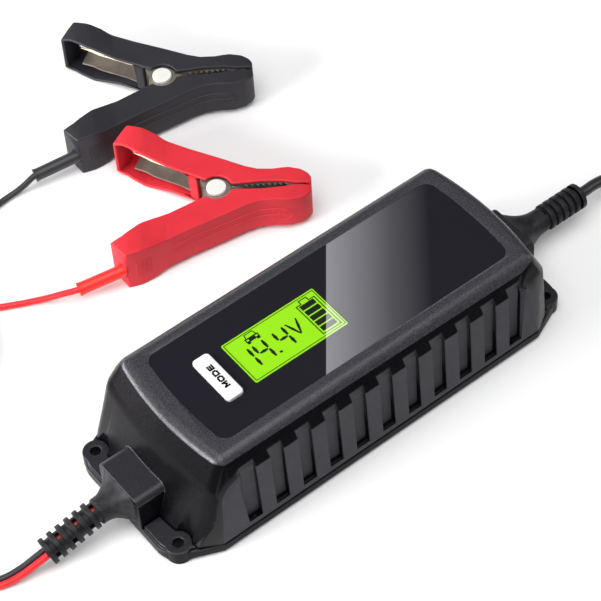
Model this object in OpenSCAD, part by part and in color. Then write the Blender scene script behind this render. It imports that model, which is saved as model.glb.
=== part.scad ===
// Smart 6 V / 12 V car battery charger with a mains lead, a battery lead and two clamps.
// Frame: +X runs along the casing towards the mains end, +Z is up, and the origin is the
// centre of the casing's underside. The clamps lie on their sides behind the casing.

/* [Casing] */
// Width over the two flat side walls
casing_w = 83; // [80:0.5:90]
// Height from the underside to the top face
casing_h = 49.5; // [47:0.5:56]
// Length of the body at its base, corner to corner
base_l = 190.6; // [186:0.2:192]
// Length of the top face at its middle
top_l = 172; // [166:0.5:174]
// How far the top face sits towards the mains end
top_shift = 4.3; // [3:0.1:5]
// How much narrower each side of the top face is than the side wall
shoulder_in = 8.2; // [7:0.1:9]
// Drop of the sloping shoulder below the top face
shoulder_drop = 9.7; // [8.9:0.1:10.5]
// How far each side wall leans in from its foot to the shoulder
side_lean = 2.1; // [1.8:0.1:2.4]
// Bulge of the end walls and of the ends of the top face
end_bow = 3.6; // [2.5:0.1:4.5]
// How far the end walls' upright edges stand in from the side walls
corner_in = 5.5; // [4.5:0.1:6.5]
// Wall thickness of the upper half
wall = 2.2; // [1.8:0.1:2.5]
// Height of the lower half's rim, where the halves part
tray_h = 5.5; // [5:0.1:6]
// Floor thickness of the lower half
floor_t = 2.4; // [2:0.1:2.8]
// Height and depth of the step round the lower half's bottom edge
foot_step = 1.2; // [0.8:0.1:1.6]

/* [Grooves] */
// Number of cooling grooves on each side
groove_count = 11; // [7:1:11]
// Distance from groove to groove
groove_pitch = 14.1; // [12:0.1:14.2]
// How far the middle of the grooves sits towards the mains end
groove_shift = 1.9; // [0:0.1:2.4]
// Width of a groove
groove_w = 6.6; // [5:0.1:7.5]
// Depth of a groove into the side wall
groove_deep = 3.2; // [2.4:0.1:3.6]
// Height of the groove floor above the underside
groove_z = 9; // [8:0.1:12]

/* [Mounting ears] */
// Hole spacing along the casing
hole_pitch_x = 200; // [199:0.5:202]
// Hole spacing across the casing
hole_pitch_y = 59; // [57:0.5:60]
// Diameter of the mounting holes
hole_d = 4.6; // [4:0.1:5.2]
// Radius of the ear's corner
ear_r = 12.2; // [11:0.1:13]
// How far the ear runs past the hole centres
ear_past = 7.4; // [7:0.1:8.2]
// Height of the ear's raised pad
ear_pad_h = 7.7; // [7:0.1:9]
// Radius of the scoop over each hole
scoop_r = 6.1; // [5.5:0.1:6.5]

/* [Cable ends] */
// Width of the boss over each cable
boss_w = 28; // [26:0.5:30]
// Height of the boss over each cable
boss_h = 24.1; // [23.6:0.1:27]
// Shoulder radius of the boss
boss_r = 3.8; // [2:0.1:4.5]
// Height of the cable axis
cable_z = 14.6; // [14.4:0.1:15]
// Diameter of the strain relief's base
flare_d = 18; // [16.5:0.1:18]
// Diameter of the strain relief where it passes the boss
gland_d = 10; // [9.5:0.1:10.6]
// Outer diameter of the strain relief's rings
ring_d = 12.4; // [11.5:0.1:13]
// Diameter of the strain relief between its rings
neck_d = 9.2; // [8.6:0.1:9.8]
// Length of the flared part on the battery end
battery_flare_l = 11.4; // [10:0.2:14]
// Length of the flared part on the mains end
mains_flare_l = 17; // [14:0.5:19]
// Ring spacing on the battery end
battery_ring_pitch = 4.4; // [4:0.1:4.8]
// Ring spacing on the mains end
mains_ring_pitch = 3.7; // [3.5:0.1:4.2]
// Downward tilt of the battery end's strain relief
battery_droop = 12; // [8:0.5:14]

/* [Top face] */
// Length of the dark label
label_l = 154.6; // [150:0.2:156]
// Width of the dark label
label_w = 54.4; // [52:0.2:56]
// Thickness of the label
label_t = 0.4; // [0.3:0.05:0.5]
// Length of the display window
window_l = 48; // [45:0.5:50]
// Width of the display window
window_w = 24.4; // [22:0.2:26]
// Middle of the display window along the casing
window_x = -19.6; // [-20.5:0.1:-18]
// Width of the button, along the casing
button_w = 8.4; // [7.6:0.1:9]
// Length of the button, across the casing
button_l = 25.6; // [23:0.1:27]
// Middle of the button along the casing
button_x = -54; // [-55:0.1:-53.6]
// How far the button stands above the label
button_proud = 1.2; // [1:0.1:1.8]
// Travel of the button
button_travel = 0.6; // [0.4:0.05:0.7]
// Gap round the button
button_gap = 0.35; // [0.3:0.05:0.5]

/* [Leads] */
// Diameter of the mains lead
mains_d = 5.2; // [4.8:0.1:5.4]
// Diameter of one core of the battery lead
core_d = 3; // [2.6:0.1:3.2]
// Diameter of the mains coil at the middle of its turns
mains_coil_d = 58; // [56:1:60]
// Width and height of the mains coil's bundle
mains_bundle = 15.8; // [14:0.2:16]
// Diameter of the battery lead's coil at the middle of its turns
battery_coil_d = 66; // [62:1:70]
// Width and height of the battery lead's bundle
battery_bundle = 12.6; // [11:0.2:14]
// Width of the plug's body
plug_w = 35.4; // [34:0.2:36]
// Thickness of the plug's body
plug_h = 13.8; // [13:0.1:14]
// Distance between the plug's pins
pin_pitch = 18.6; // [17.6:0.1:19]
// Diameter of the plug's pins
pin_d = 4; // [3.8:0.1:4.2]
// Length of the plug's pins
pin_l = 19; // [18:0.5:20]

/* [Clamps] */
// Length of the jaws from the pivot
jaw_l = 43.3; // [42:0.1:44.5]
// Thickness of the grips, across the clamp
grip_w = 23; // [22:0.5:25]
// Thickness of the jaws, across the clamp
jaw_w = 18.4; // [17.4:0.2:19.6]
// Wall of the insulating covers
cover_wall = 1.6; // [1.3:0.1:1.8]
// Sheet thickness of the metal jaws
sheet_t = 0.9; // [0.7:0.05:1]
// Diameter of the pivot rivet
rivet_d = 5; // [4.4:0.1:5.4]
// Diameter of the rivet's heads
rivet_head_d = 10.2; // [9:0.1:10.6]
// Clearance between the rivet and the jaws, on the radius
pivot_gap = 0.05; // [0.02:0.01:0.09]
// Wire thickness of the clamp's spring
spring_wire = 1.5; // [1.2:0.1:1.6]
// Outer diameter of the sleeve on each clamp's wire
sleeve_d = 6; // [5.4:0.1:6.2]
// Length of that sleeve
sleeve_l = 18; // [16:0.5:20]

/* [Hidden] */
$fn = 48;
fit_gap = 0.1;
seam_gap = 0.5;

half_w = casing_w / 2;
end_half = half_w - corner_in;
top_half = half_w - shoulder_in;
shoulder_z = casing_h - shoulder_drop;
body_z = tray_h + seam_gap;
base_tip = base_l / 2 + end_bow;
lean_z = 0.73 * casing_h;
battery_lean = 0.54 * (base_tip + top_shift - top_l / 2);
mains_lean = 0.34 * (base_tip - top_shift - top_l / 2);
panel_half = base_l / 2 - 9.7;
side_tilt = atan(side_lean / (shoulder_z - body_z));
groove_tilt = side_tilt / 2;
groove_out = groove_deep + 8;
inner_half = half_w - groove_deep - (shoulder_z - groove_z) * tan(groove_tilt) - wall;
skin_z = casing_h - wall;
label_z = casing_h - label_t - 0.1;
ear_x = hole_pitch_x / 2;
ear_y = hole_pitch_y / 2;
flange_x = ear_x + ear_past;
boss_x = flange_x;
boss_wall = 3;

column_d = 8;
column_h = 30;
screw_x = base_l / 2 - 18.3;
screw_y = half_w - 11;
screw_d = 3;
screw_head_d = 5.8;
screw_l = 23;
board_t = 1.6;
board_z = 9;
board_top = board_z + board_t;
board_half_l = screw_x - column_d / 2 - 3;
board_half_w = inner_half - 3;
post_x = board_half_l - 5;
post_y = board_half_w - 5;
small_screw_d = 2.4;

transformer_x = 6;
transformer_l = 30;
transformer_w = 28;
winding_h = 14;
ribbon_gap = 6;
ribbon_w = 12;
ribbon_t = 0.8;
choke_d = 20;
bulk_d = 16;
bulk_h = 26;
output_d = 10;
sink_l = 49;
sink_t = 2.4;
sink_h = 25;
fin_count = 7;
fin_t = 1.2;
fin_out = 3;
transistor_w = 10;
transistor_t = 4.4;
transistor_h = 15;
transistor_pitch = 16;
transistor_inset = 9.6;
fuse_l = 20;
fuse_d = 5.2;

panel_z = skin_z - 8.1;
panel_top = panel_z + board_t;
panel_a = button_x - 11.5;
panel_b = window_x + window_l / 2 + 8;
panel_half_w = 24;
panel_post_x = [panel_a + 3, panel_b - 2.6];
panel_post_y = panel_half_w - 3;
window_seat = 0.9;
module_rim = 7;
module_step = 4;
module_foot = 3.4;
window_lap = 1.5;
button_top = label_z + label_t + button_proud;
button_lip = 1;
button_lip_t = 1.2;
lip_z = skin_z - fit_gap - button_lip_t;
stem_d = 3.4;
stem_top = lip_z + 0.6;
stem_foot = panel_top + button_travel + 0.6;
switch_h = 3.6;

mains_bore = mains_d + 0.1;
battery_bore = 2 * core_d + 0.7;
ring_t = 2.2;
relief_rings = 6;
mains_tip_x = boss_x + mains_flare_l + relief_rings * mains_ring_pitch;
battery_ring_l = relief_rings * battery_ring_pitch;
battery_joint_x = -boss_x - battery_flare_l;
battery_tip = [battery_joint_x - battery_ring_l * cos(battery_droop), 0,
    cable_z - battery_ring_l * sin(battery_droop)];

mains_coil_at = [212, -44];
battery_coil_at = [-152, 130];
tie_t = 1;
coil_floor = tie_t + 0.2;
floor_gap = 0.1;
mains_z = mains_d / 2 + floor_gap;
core_z = core_d / 2 + floor_gap;
plug_at = [180, -80];
plug_body_l = 38;
plug_tail_l = 6;

clamp_z = grip_w / 2;
red_pivot = [21.8, 106.2, clamp_z];
red_turn = -36;
black_pivot = [44.9, 180.5, clamp_z];
black_turn = -33;
jaw_metal = jaw_w / 2 - cover_wall - fit_gap;
moving_metal = jaw_metal - sheet_t - fit_gap;
sleeve_start = [-46.5, -38.8, -2];
sleeve_turn = 202.4;
sleeve_tilt = 4.8;
sleeve_end = sleeve_start + sleeve_l * [cos(sleeve_turn) * cos(sleeve_tilt),
    sin(sleeve_turn) * cos(sleeve_tilt), -sin(sleeve_tilt)];

// Outline of a clamp arm's back, from the tail to the tip, and of its inner edge
arm_back = [[-41.2, 40], [-35, 38.2], [-28, 34.5], [-24, 31.3], [-12.6, 25], [3, 17.4],
    [13, 12.2], [19, 10], [26, 9.5], [33, 10.2], [jaw_l - 4.8, 8.9], [jaw_l - 1.3, 6.5],
    [jaw_l, 4.4]];
arm_edge = [[jaw_l, 0.7], [36, 0.6], [30, 1.4], [20, 1.5], [13, 1.3], [8, 1.2]];
tail_edge = [[-5, 5], [-17, 11.5], [-35, 21.5], [-43, 28], [-48, 30.2]];
grip_profile = [[-52, -3.6], [-48, -2.2], [-44, -0.7], [-40, 0], [-33, 0], [-22, 1], [30, 1],
    [40, 1.3], [46, 1.9]];

// Routes of the free cables, as they lie
mains_route = [[mains_tip_x, 0, cable_z], [157, 1.2, 13], [166, 1.6, 10.5], [175, 0.4, 7.6],
    [184, -2.6, 5], [193, -7.5, 3.4], [202, -12, mains_z], [212, -15, mains_z]];
mains_tail_route = [[212, -73, mains_z], [204, -73.8, mains_z], [196, -76, 3.6],
    [190, -78.4, 5.2], [184, -79.8, 6.6], [plug_at[0], plug_at[1], 7]];
battery_route = [battery_tip, [-150, 0.6, 7.2], [-156, 1.7, 4.6], [-163, 3.6, 2.4],
    [-170, 6.6, core_z], [-177, 12, core_z], [-182.5, 20, core_z], [-186, 30, core_z],
    [-187.5, 42, core_z], [-188, 56, core_z], [-188, 72, core_z], [-187.5, 88, core_z],
    [-186.5, 103, core_z], [-186, 117, core_z], [-186, 130, core_z]];
red_route = [placed(red_pivot, red_turn, sleeve_end), [-62.6, 110.6, 6], [-66.8, 113.6, 4.3],
    [-70.8, 116.6, 2.9], [-75, 119.4, 1.9], [-80, 122.2, core_z], [-86, 125.4, core_z],
    [-93.5, 129.6, core_z], [-101.5, 134.8, core_z], [-110, 141, core_z],
    [-118.5, 147.8, core_z], [-127, 154.8, core_z]];
black_route = [placed(black_pivot, black_turn, sleeve_end), [-38, 177.3, 5.2],
    [-42.5, 178.1, 3], [-47.5, 178.6, 1.8], [-54, 178, core_z], [-63, 175.8, core_z],
    [-73, 173, core_z], [-84, 170, core_z], [-96, 167.2, core_z], [-110, 165.2, core_z],
    [-124, 164.4, core_z], [-138, 164.4, core_z], [-152, 164.6, core_z]];

// ---------------------------------------------------------------- functions

function placed(pivot, turn, p) = pivot + [p[0] * cos(turn) - p[1] * sin(turn),
    p[0] * sin(turn) + p[1] * cos(turn), p[2]];

function unit(v) = v / norm(v);

// Left-hand normal of a segment, and a line moved by d to its left
function seg_normal(p, q) = unit([p[1] - q[1], q[0] - p[0]]);
function moved_line(line, d) = [for (i = [0:len(line) - 1]) let (
    before = seg_normal(line[max(i - 1, 0)], line[max(i, 1)]),
    after = seg_normal(line[min(i, len(line) - 2)], line[min(i + 1, len(line) - 1)]),
    middle = (before + after) / 2) line[i] + d * middle / (middle * middle)];

// Ring of points round a cable at point i of its route, w wide and h high
function heading(route, i) = unit(route[min(i + 1, len(route) - 1)] - route[max(i - 1, 0)]);
function cable_ring(route, i, w, h, n) = let (
    ahead = heading(route, i),
    side = unit([-ahead[1], ahead[0], 0]),
    up = cross(ahead, side))
    [for (k = [0:n - 1]) route[i] + side * w / 2 * cos(360 * k / n)
        + up * h / 2 * sin(360 * k / n)];

// Where a line from an outside point touches a circle
function tangent_point(from, centre, r) = let (
    away = from - centre,
    turn = atan2(away[1], away[0]) - acos(r / norm(away)))
    centre + r * [cos(turn), sin(turn)];

// ---------------------------------------------------------------- shared shapes

// A flat plate whose two ends bulge. a and b are the tips of the bulges.
module bowed_plate(a, b, half, bow) {
    n = 16;
    left = [for (i = [0:n]) let (t = 1 - 2 * i / n) [a + bow * t * t, t * half]];
    right = [for (i = [0:n]) let (t = 2 * i / n - 1) [b - bow * t * t, t * half]];
    polygon(concat(left, right));
}

// A rectangle whose corners are true arcs
module soft_rect(l, w, r) {
    square([l - 2 * r, w], center = true);
    square([l, w - 2 * r], center = true);
    for (x = [-1, 1], y = [-1, 1]) {
        translate([x * (l / 2 - r), y * (w / 2 - r)]) circle(r);
    }
}

module both_ends() {
    children();
    mirror([1, 0, 0]) children();
}

module four_corners(x, y) {
    for (sx = [-1, 1], sy = [-1, 1]) {
        translate([sx * x, sy * y, 0]) children();
    }
}

module cable(route, w, h, n) {
    last = len(route) - 1;
    points = [for (i = [0:last]) each cable_ring(route, i, w, h, n)];
    sides = [for (i = [0:last - 1], k = [0:n - 1]) let (next = (k + 1) % n)
        [i * n + k, (i + 1) * n + k, (i + 1) * n + next, i * n + next]];
    caps = [[for (k = [0:n - 1]) k], [for (k = [n - 1:-1:0]) last * n + k]];
    polyhedron(points, concat(sides, caps), convexity = 4);
}

// A straight round bar from p to q
module bar(p, q, d) {
    step = q - p;
    translate(p) rotate([0, acos(step[2] / norm(step)), atan2(step[1], step[0])])
        cylinder(d = d, h = norm(step));
}

// ---------------------------------------------------------------- casing halves

// The closed body, pulled in by t on every side but the underside
module body_form(t) {
    hull() {
        translate([0, 0, body_z]) linear_extrude(1)
            bowed_plate(t - base_tip, base_tip - t, end_half - t, end_bow);
        translate([0, 0, lean_z - t / 2]) linear_extrude(1)
            bowed_plate(t - base_tip + battery_lean, base_tip - mains_lean - t,
                end_half - t, end_bow);
        translate([0, 0, skin_z + wall - t - 1]) linear_extrude(1)
            bowed_plate(top_shift - top_l / 2 + t, top_shift + top_l / 2 - t,
                top_half - t, end_bow);
        for (s = [-1, 1]) {
            translate([0, s * (half_w - t - 0.05), body_z]) rotate([90 + s * side_tilt, 0, 0])
                linear_extrude(0.1, center = true) side_panel(t);
        }
    }
}

// Outline of that body at its foot, let out by t
module body_foot(t) {
    side = [panel_half, half_w + t];
    corner = [base_tip - end_bow + t, end_half + t];
    bowed_plate(-base_tip - t, base_tip + t, end_half + t, end_bow);
    polygon([side, corner, [corner[0], -corner[1]], [side[0], -side[1]], -side, -corner,
        [-corner[0], corner[1]], [-side[0], side[1]]]);
}

// The flat side wall, from its foot up. Its upper corners are quarter ellipses.
module side_panel(t) {
    rx = 10.7;
    top = (shoulder_z - body_z) / cos(side_tilt) - t / 2;
    rz = 0.73 * top;
    half = panel_half - t;
    n = 10;
    arc = [for (i = [0:n]) [rx * cos(90 * i / n), rz * sin(90 * i / n)]];
    right = [for (p = arc) [half - rx + p[0], top - rz + p[1]]];
    left = [for (i = [n:-1:0]) [rx - half - arc[i][0], top - rz + arc[i][1]]];
    polygon(concat([[-half, 0], [half, 0]], right, left));
}

module boss_profile(w, h, r) {
    translate([0, (h - r) / 2]) square([w, h - r], center = true);
    translate([0, h / 2]) square([w - 2 * r, h], center = true);
    for (s = [-1, 1]) {
        translate([s * (w / 2 - r), h - r]) circle(r);
    }
}

module along_x(x0, x1) {
    translate([x0, 0, 0]) rotate([90, 0, 90]) linear_extrude(x1 - x0) children();
}

// Outline of the eared base, pulled in by t
module flange_outline(t) {
    centre = [flange_x - ear_r, ear_y - 5.5];
    waist = [panel_half, half_w - t];
    touch = tangent_point(waist, centre, ear_r - t);
    square([2 * (flange_x - t), 2 * centre[1]], center = true);
    square([2 * centre[0], 2 * centre[1]], center = true);
    for (sx = [-1, 1], sy = [-1, 1]) {
        mirror([sx < 0 ? 1 : 0, 0]) mirror([0, sy < 0 ? 1 : 0]) {
            translate(centre) circle(ear_r - t);
            polygon([[0, 0], [centre[0], 0], centre, touch, waist, [0, half_w - t]]);
        }
    }
}

// The strain relief's seat through the boss's front wall, open at the bottom by drop
module gland_hole(gap, drop) {
    along_x(boss_x - boss_wall - 1, boss_x + 1) translate([0, cable_z]) {
        circle(d = gland_d + 2 * gap);
        translate([-gland_d / 2 - gap, -drop]) square([gland_d + 2 * gap, drop]);
    }
}

module lower_casing() {
    saddle_top = cable_z - 3;
    color("dimgray") difference() {
        union() {
            difference() {
                union() {
                    linear_extrude(tray_h) flange_outline(foot_step);
                    translate([0, 0, foot_step]) linear_extrude(tray_h - foot_step)
                        flange_outline(0);
                }
                translate([0, 0, floor_t]) linear_extrude(casing_h)
                    bowed_plate(wall + 3 - base_tip, base_tip - wall - 3, inner_half, end_bow);
            }
            difference() {
                linear_extrude(ear_pad_h) flange_outline(1.2);
                translate([0, 0, tray_h]) linear_extrude(ear_pad_h) {
                    body_foot(0.2);
                    square([base_l - 10, casing_w + 10], center = true);
                    square([2 * flange_x + 10, boss_w + 0.6], center = true);
                }
                translate([0, 0, floor_t]) linear_extrude(casing_h)
                    bowed_plate(wall + 3 - base_tip, base_tip - wall - 3, inner_half, end_bow);
            }
            four_corners(ear_x, ear_y) cylinder(r = scoop_r - 0.3, h = ear_pad_h);
            four_corners(post_x, post_y) cylinder(d = 7, h = board_z);
            four_corners(screw_x, screw_y) cylinder(d = column_d, h = tray_h);
            both_ends() translate([boss_x - boss_wall, fit_gap - gland_d / 2, floor_t])
                cube([boss_wall, gland_d - 2 * fit_gap, saddle_top - floor_t]);
        }
        both_ends() gland_hole(fit_gap, 1);
        four_corners(ear_x, ear_y) translate([0, 0, -1]) cylinder(d = hole_d, h = casing_h);
        four_corners(screw_x, screw_y) {
            translate([0, 0, -1]) cylinder(d = screw_d + 2 * fit_gap, h = casing_h);
            translate([0, 0, -1]) cylinder(d = screw_head_d + 0.4, h = floor_t + 1);
        }
        four_corners(post_x, post_y) translate([0, 0, floor_t])
            cylinder(d = small_screw_d + 0.1, h = casing_h);
    }
}

module side_grooves() {
    first = groove_shift - (groove_count - 1) * groove_pitch / 2;
    for (s = [-1, 1], i = [0:groove_count - 1]) {
        translate([first + i * groove_pitch - groove_w / 2, s * (half_w - groove_deep), groove_z])
            rotate([s * groove_tilt, 0, 0]) translate([0, s > 0 ? 0 : -groove_out, 0])
            cube([groove_w, groove_out, casing_h]);
    }
}

module upper_casing() {
    color("dimgray") difference() {
        union() {
            difference() {
                union() {
                    body_form(0);
                    translate([0, 0, tray_h]) linear_extrude(2 * seam_gap)
                        bowed_plate(seam_gap - base_tip, base_tip - seam_gap,
                            end_half - seam_gap, end_bow);
                    translate([-panel_half, seam_gap - half_w, tray_h])
                        cube([2 * panel_half, casing_w - 2 * seam_gap, 2 * seam_gap]);
                    both_ends() difference() {
                        along_x(panel_half - 10, boss_x) boss_profile(boss_w, boss_h, boss_r);
                        translate([0, -boss_w, -1]) cube([2 * boss_x, 2 * boss_w, tray_h + 1]);
                    }
                }
                intersection() {
                    body_form(wall);
                    translate([-base_l, -inner_half, 0])
                        cube([2 * base_l, 2 * inner_half, casing_h]);
                }
                translate([0, 0, -1]) linear_extrude(body_z + 1.5)
                    bowed_plate(wall - base_tip, base_tip - wall, end_half - wall, end_bow);
                both_ends() along_x(panel_half - 12, boss_x - boss_wall)
                    boss_profile(boss_w - 2 * wall, boss_h - wall, boss_r - 1);
            }
            four_corners(screw_x, screw_y) translate([0, 0, tray_h])
                cylinder(d = column_d, h = column_h);
            four_corners(screw_x, (screw_y + inner_half + 1) / 2)
                translate([-0.9, -(inner_half + 1 - screw_y) / 2, tray_h])
                cube([1.8, inner_half + 1 - screw_y, column_h]);
            for (x = panel_post_x, y = [-1, 1]) {
                translate([x, y * panel_post_y, panel_top])
                    cylinder(d = 5, h = skin_z - panel_top + 0.5);
            }
        }
        side_grooves();
        both_ends() gland_hole(fit_gap, cable_z);
        four_corners(ear_x, ear_y) cylinder(r = scoop_r, h = casing_h);
        four_corners(screw_x, screw_y) cylinder(d = screw_d + fit_gap, h = screw_l + 5);
        for (x = panel_post_x, y = [-1, 1]) {
            translate([x, y * panel_post_y, 0])
                cylinder(d = small_screw_d + 0.1, h = skin_z - 1);
        }
        translate([0, 0, label_z]) linear_extrude(2) label_outline(0);
        translate([window_x, 0, label_z - window_seat]) linear_extrude(3)
            soft_rect(window_l + 0.2, window_w + 0.2, 1.3);
        translate([window_x, 0, 0]) linear_extrude(casing_h)
            soft_rect(window_l - 2 * window_lap, window_w - 2 * window_lap, 1);
        translate([button_x, 0, 0]) linear_extrude(casing_h + 1)
            soft_rect(button_w + 2 * button_gap, button_l + 2 * button_gap, 2.2);
    }
}

module label_outline(t) {
    left = top_shift - label_l / 2 + t;
    right = top_shift + label_l / 2 - t;
    half = label_w / 2 - t;
    r = 5.5;
    bow = 0.33 * end_bow;
    centre_x = [left + bow + r, right - bow - r];
    bowed_plate(left, right, half - r, bow);
    translate([centre_x[0], -half]) square([centre_x[1] - centre_x[0], 2 * half]);
    for (x = centre_x, s = [-1, 1]) {
        translate([x, s * (half - r)]) circle(r);
    }
}

module label_panel() {
    color("black") translate([0, 0, label_z]) linear_extrude(label_t) difference() {
        label_outline(fit_gap);
        translate([window_x, 0]) soft_rect(window_l + 0.4, window_w + 0.4, 1.4);
        translate([button_x, 0])
            soft_rect(button_w + 2 * button_gap, button_l + 2 * button_gap, 2.2);
    }
}

// ---------------------------------------------------------------- display and button

module lcd_window() {
    color("yellowgreen") translate([window_x, 0, label_z - window_seat])
        linear_extrude(window_seat + label_t) soft_rect(window_l, window_w, 1.2);
}

module lcd_module() {
    color("gainsboro") {
        translate([window_x, 0, panel_top + module_foot / 2])
            cube([window_l + module_rim, window_w + module_rim, module_foot], center = true);
        translate([window_x, 0, (panel_top + skin_z) / 2 + 1.6])
            cube([window_l + module_step, window_w + module_step,
                skin_z - panel_top - module_foot], center = true);
    }
}

module mode_button() {
    color("dimgray") translate([button_x, 0, 0]) difference() {
        union() {
            translate([0, 0, lip_z]) linear_extrude(button_top - lip_z)
                soft_rect(button_w, button_l, 1.9);
            translate([0, 0, lip_z]) linear_extrude(button_lip_t)
                soft_rect(button_w + 2 * button_lip, button_l + 2 * button_lip, 2.4);
        }
        translate([0, 0, lip_z - 1]) linear_extrude(button_top - lip_z - 0.6)
            difference() {
                soft_rect(button_w - 2.4, button_l - 2.4, 0.9);
                circle(d = stem_d);
            }
        translate([0, 0, lip_z - 1]) cylinder(d = stem_d + 1, h = stem_top - lip_z + 1);
    }
}

module switch_stem() {
    color("black") translate([button_x, 0, stem_foot])
        cylinder(d = stem_d, h = stem_top - stem_foot);
}

module button_switch() {
    color("silver") translate([button_x, 0, panel_top]) difference() {
        translate([-3, -3, 0]) cube([6, 6, switch_h]);
        translate([0, 0, 0.5]) cylinder(d = stem_d + 0.16, h = switch_h);
    }
}

module display_board() {
    color("darkgreen") difference() {
        translate([panel_a, -panel_half_w, panel_z])
            cube([panel_b - panel_a, 2 * panel_half_w, board_t]);
        for (x = panel_post_x, y = [-1, 1]) {
            translate([x, y * panel_post_y, panel_z - 1])
                cylinder(d = small_screw_d + 0.2, h = board_t + 2);
        }
    }
}

module display_ribbon() {
    color("lightgray") translate([transformer_x - transformer_l / 2 - ribbon_gap, -ribbon_w / 2,
        board_top]) cube([ribbon_t, ribbon_w, panel_z - board_top]);
}

// ---------------------------------------------------------------- main board

module on_board(x, y) {
    translate([x, y, board_top]) children();
}

module main_board() {
    color("darkgreen") difference() {
        translate([-board_half_l, -board_half_w, board_z])
            cube([2 * board_half_l, 2 * board_half_w, board_t]);
        four_corners(post_x, post_y) translate([0, 0, board_z - 1])
            cylinder(d = small_screw_d + 0.2, h = board_t + 2);
    }
}

module transformer() {
    plate_t = 4;
    color("goldenrod") on_board(transformer_x, 0) {
        for (z = [0, winding_h + plate_t]) {
            translate([-transformer_l / 2, -transformer_w / 2, z])
                cube([transformer_l, transformer_w, plate_t]);
        }
        translate([0, 0, plate_t]) cylinder(d = transformer_w - 2, h = winding_h);
        for (x = [-transformer_l / 2, transformer_l / 2 - plate_t]) {
            translate([x, -plate_t, plate_t]) cube([plate_t, 2 * plate_t, winding_h]);
        }
    }
}

module mains_choke() {
    color("peru") on_board(38, 0) translate([0, 0, choke_d / 2]) rotate([0, 90, 0]) difference() {
        cylinder(d = choke_d, h = 9, center = true);
        cylinder(d = 0.4 * choke_d, h = choke_d, center = true);
    }
}

module bulk_capacitor() {
    color("midnightblue") on_board(45, board_half_w - bulk_d / 2 - 4)
        cylinder(d = bulk_d, h = bulk_h);
}

module output_capacitors() {
    color("midnightblue") for (i = [0:2]) {
        on_board(-52 + 12 * i, -12) cylinder(d = output_d, h = 2 * output_d);
    }
}

module heatsinks() {
    color("silver") for (s = [-1, 1]) {
        on_board(-6, s * (board_half_w - 6)) {
            translate([-sink_l / 2, -sink_t / 2, 0]) cube([sink_l, sink_t, sink_h]);
            for (i = [0:fin_count - 1]) {
                translate([(sink_l / fin_count) * (i + 0.5) - sink_l / 2,
                    s * (sink_t + fin_out) / 2, sink_h / 2])
                    cube([fin_t, fin_out, sink_h], center = true);
            }
        }
    }
}

module power_transistors() {
    color("black") for (s = [-1, 1], x = [-transistor_pitch, 0]) {
        on_board(x - 4, s * (board_half_w - transistor_inset) - transistor_t / 2) {
            translate([0, 0, 4]) cube([transistor_w, transistor_t, transistor_h]);
            for (i = [0:2]) {
                translate([2 + 2.6 * i, 1.8, 0]) cube([0.8, 0.8, 4]);
            }
        }
    }
}

module fuse() {
    color("lightsteelblue") on_board(62, 16 - board_half_w) {
        translate([0, -fuse_l / 2, 4.6]) rotate([-90, 0, 0]) cylinder(d = fuse_d, h = fuse_l);
        for (y = [1.4 - fuse_l / 2, fuse_l / 2 - 4.4]) {
            translate([-2, y, 0]) cube([4, 3, 4]);
        }
    }
}

module mains_inner_wires() {
    jacket_end = boss_x - boss_wall - 5;
    color("brown") {
        translate([jacket_end, 0, cable_z]) rotate([0, 90, 0])
            cylinder(d = mains_d, h = mains_tip_x - jacket_end);
        for (s = [-1, 1]) {
            cable([[jacket_end, s * 1.3, cable_z], [jacket_end - 8, s * 1.6, cable_z],
                [board_half_l + 10, s * 3, cable_z - 1], [board_half_l, s * 5, board_top + 3],
                [board_half_l - 4, s * 5, board_top]], 2, 2, 8);
        }
    }
}

module battery_inner_wires() {
    for (s = [-1, 1]) {
        side = s * core_d / 2 * 1.01;
        color(s > 0 ? "black" : "red") cable([[battery_tip[0], side, battery_tip[2]],
            [battery_joint_x - 6, side, cable_z - 6 * tan(battery_droop)],
            [battery_joint_x + 3, side, cable_z], [-boss_x, side, cable_z],
            [12 - boss_x, side, cable_z], [-board_half_l - 9, s * 4, cable_z - 1],
            [-board_half_l, s * 6, board_top + 4], [5 - board_half_l, s * 6, board_top]],
            core_d, core_d, 8);
    }
}

module casing_screws() {
    color("silver") four_corners(screw_x, screw_y) {
        translate([0, 0, floor_t - 2]) cylinder(d = screw_head_d, h = 2);
        translate([0, 0, floor_t - 0.5]) cylinder(d = screw_d, h = screw_l);
    }
}

module board_screws() {
    head_d = small_screw_d + 2;
    head_h = 1.6;
    color("silver") {
        four_corners(post_x, post_y) {
            translate([0, 0, board_top]) cylinder(d = head_d, h = head_h);
            translate([0, 0, floor_t + 0.4]) cylinder(d = small_screw_d, h = board_top - floor_t);
        }
        for (x = panel_post_x, y = [-1, 1]) {
            translate([x, y * panel_post_y, panel_z - head_h]) cylinder(d = head_d, h = head_h);
            translate([x, y * panel_post_y, panel_z - 0.5])
                cylinder(d = small_screw_d, h = skin_z - panel_z - 1);
        }
    }
}

// ---------------------------------------------------------------- strain reliefs

// Collar, neck and flare along +Z, with the boss's front face at z = 0
module relief_base(flare_l) {
    n = 8;
    joint_r = neck_d / 2 + 0.9;
    curve = [for (i = [0:n]) let (t = i / n)
        [joint_r + (flare_d / 2 - joint_r) * pow(1 - t, 2.2), flare_l * t]];
    rotate_extrude() polygon(concat([[0, -boss_wall - 2.6], [7, -boss_wall - 2.6],
        [7, -boss_wall], [gland_d / 2, -boss_wall], [gland_d / 2, 0]], curve, [[0, flare_l]]));
}

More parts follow.
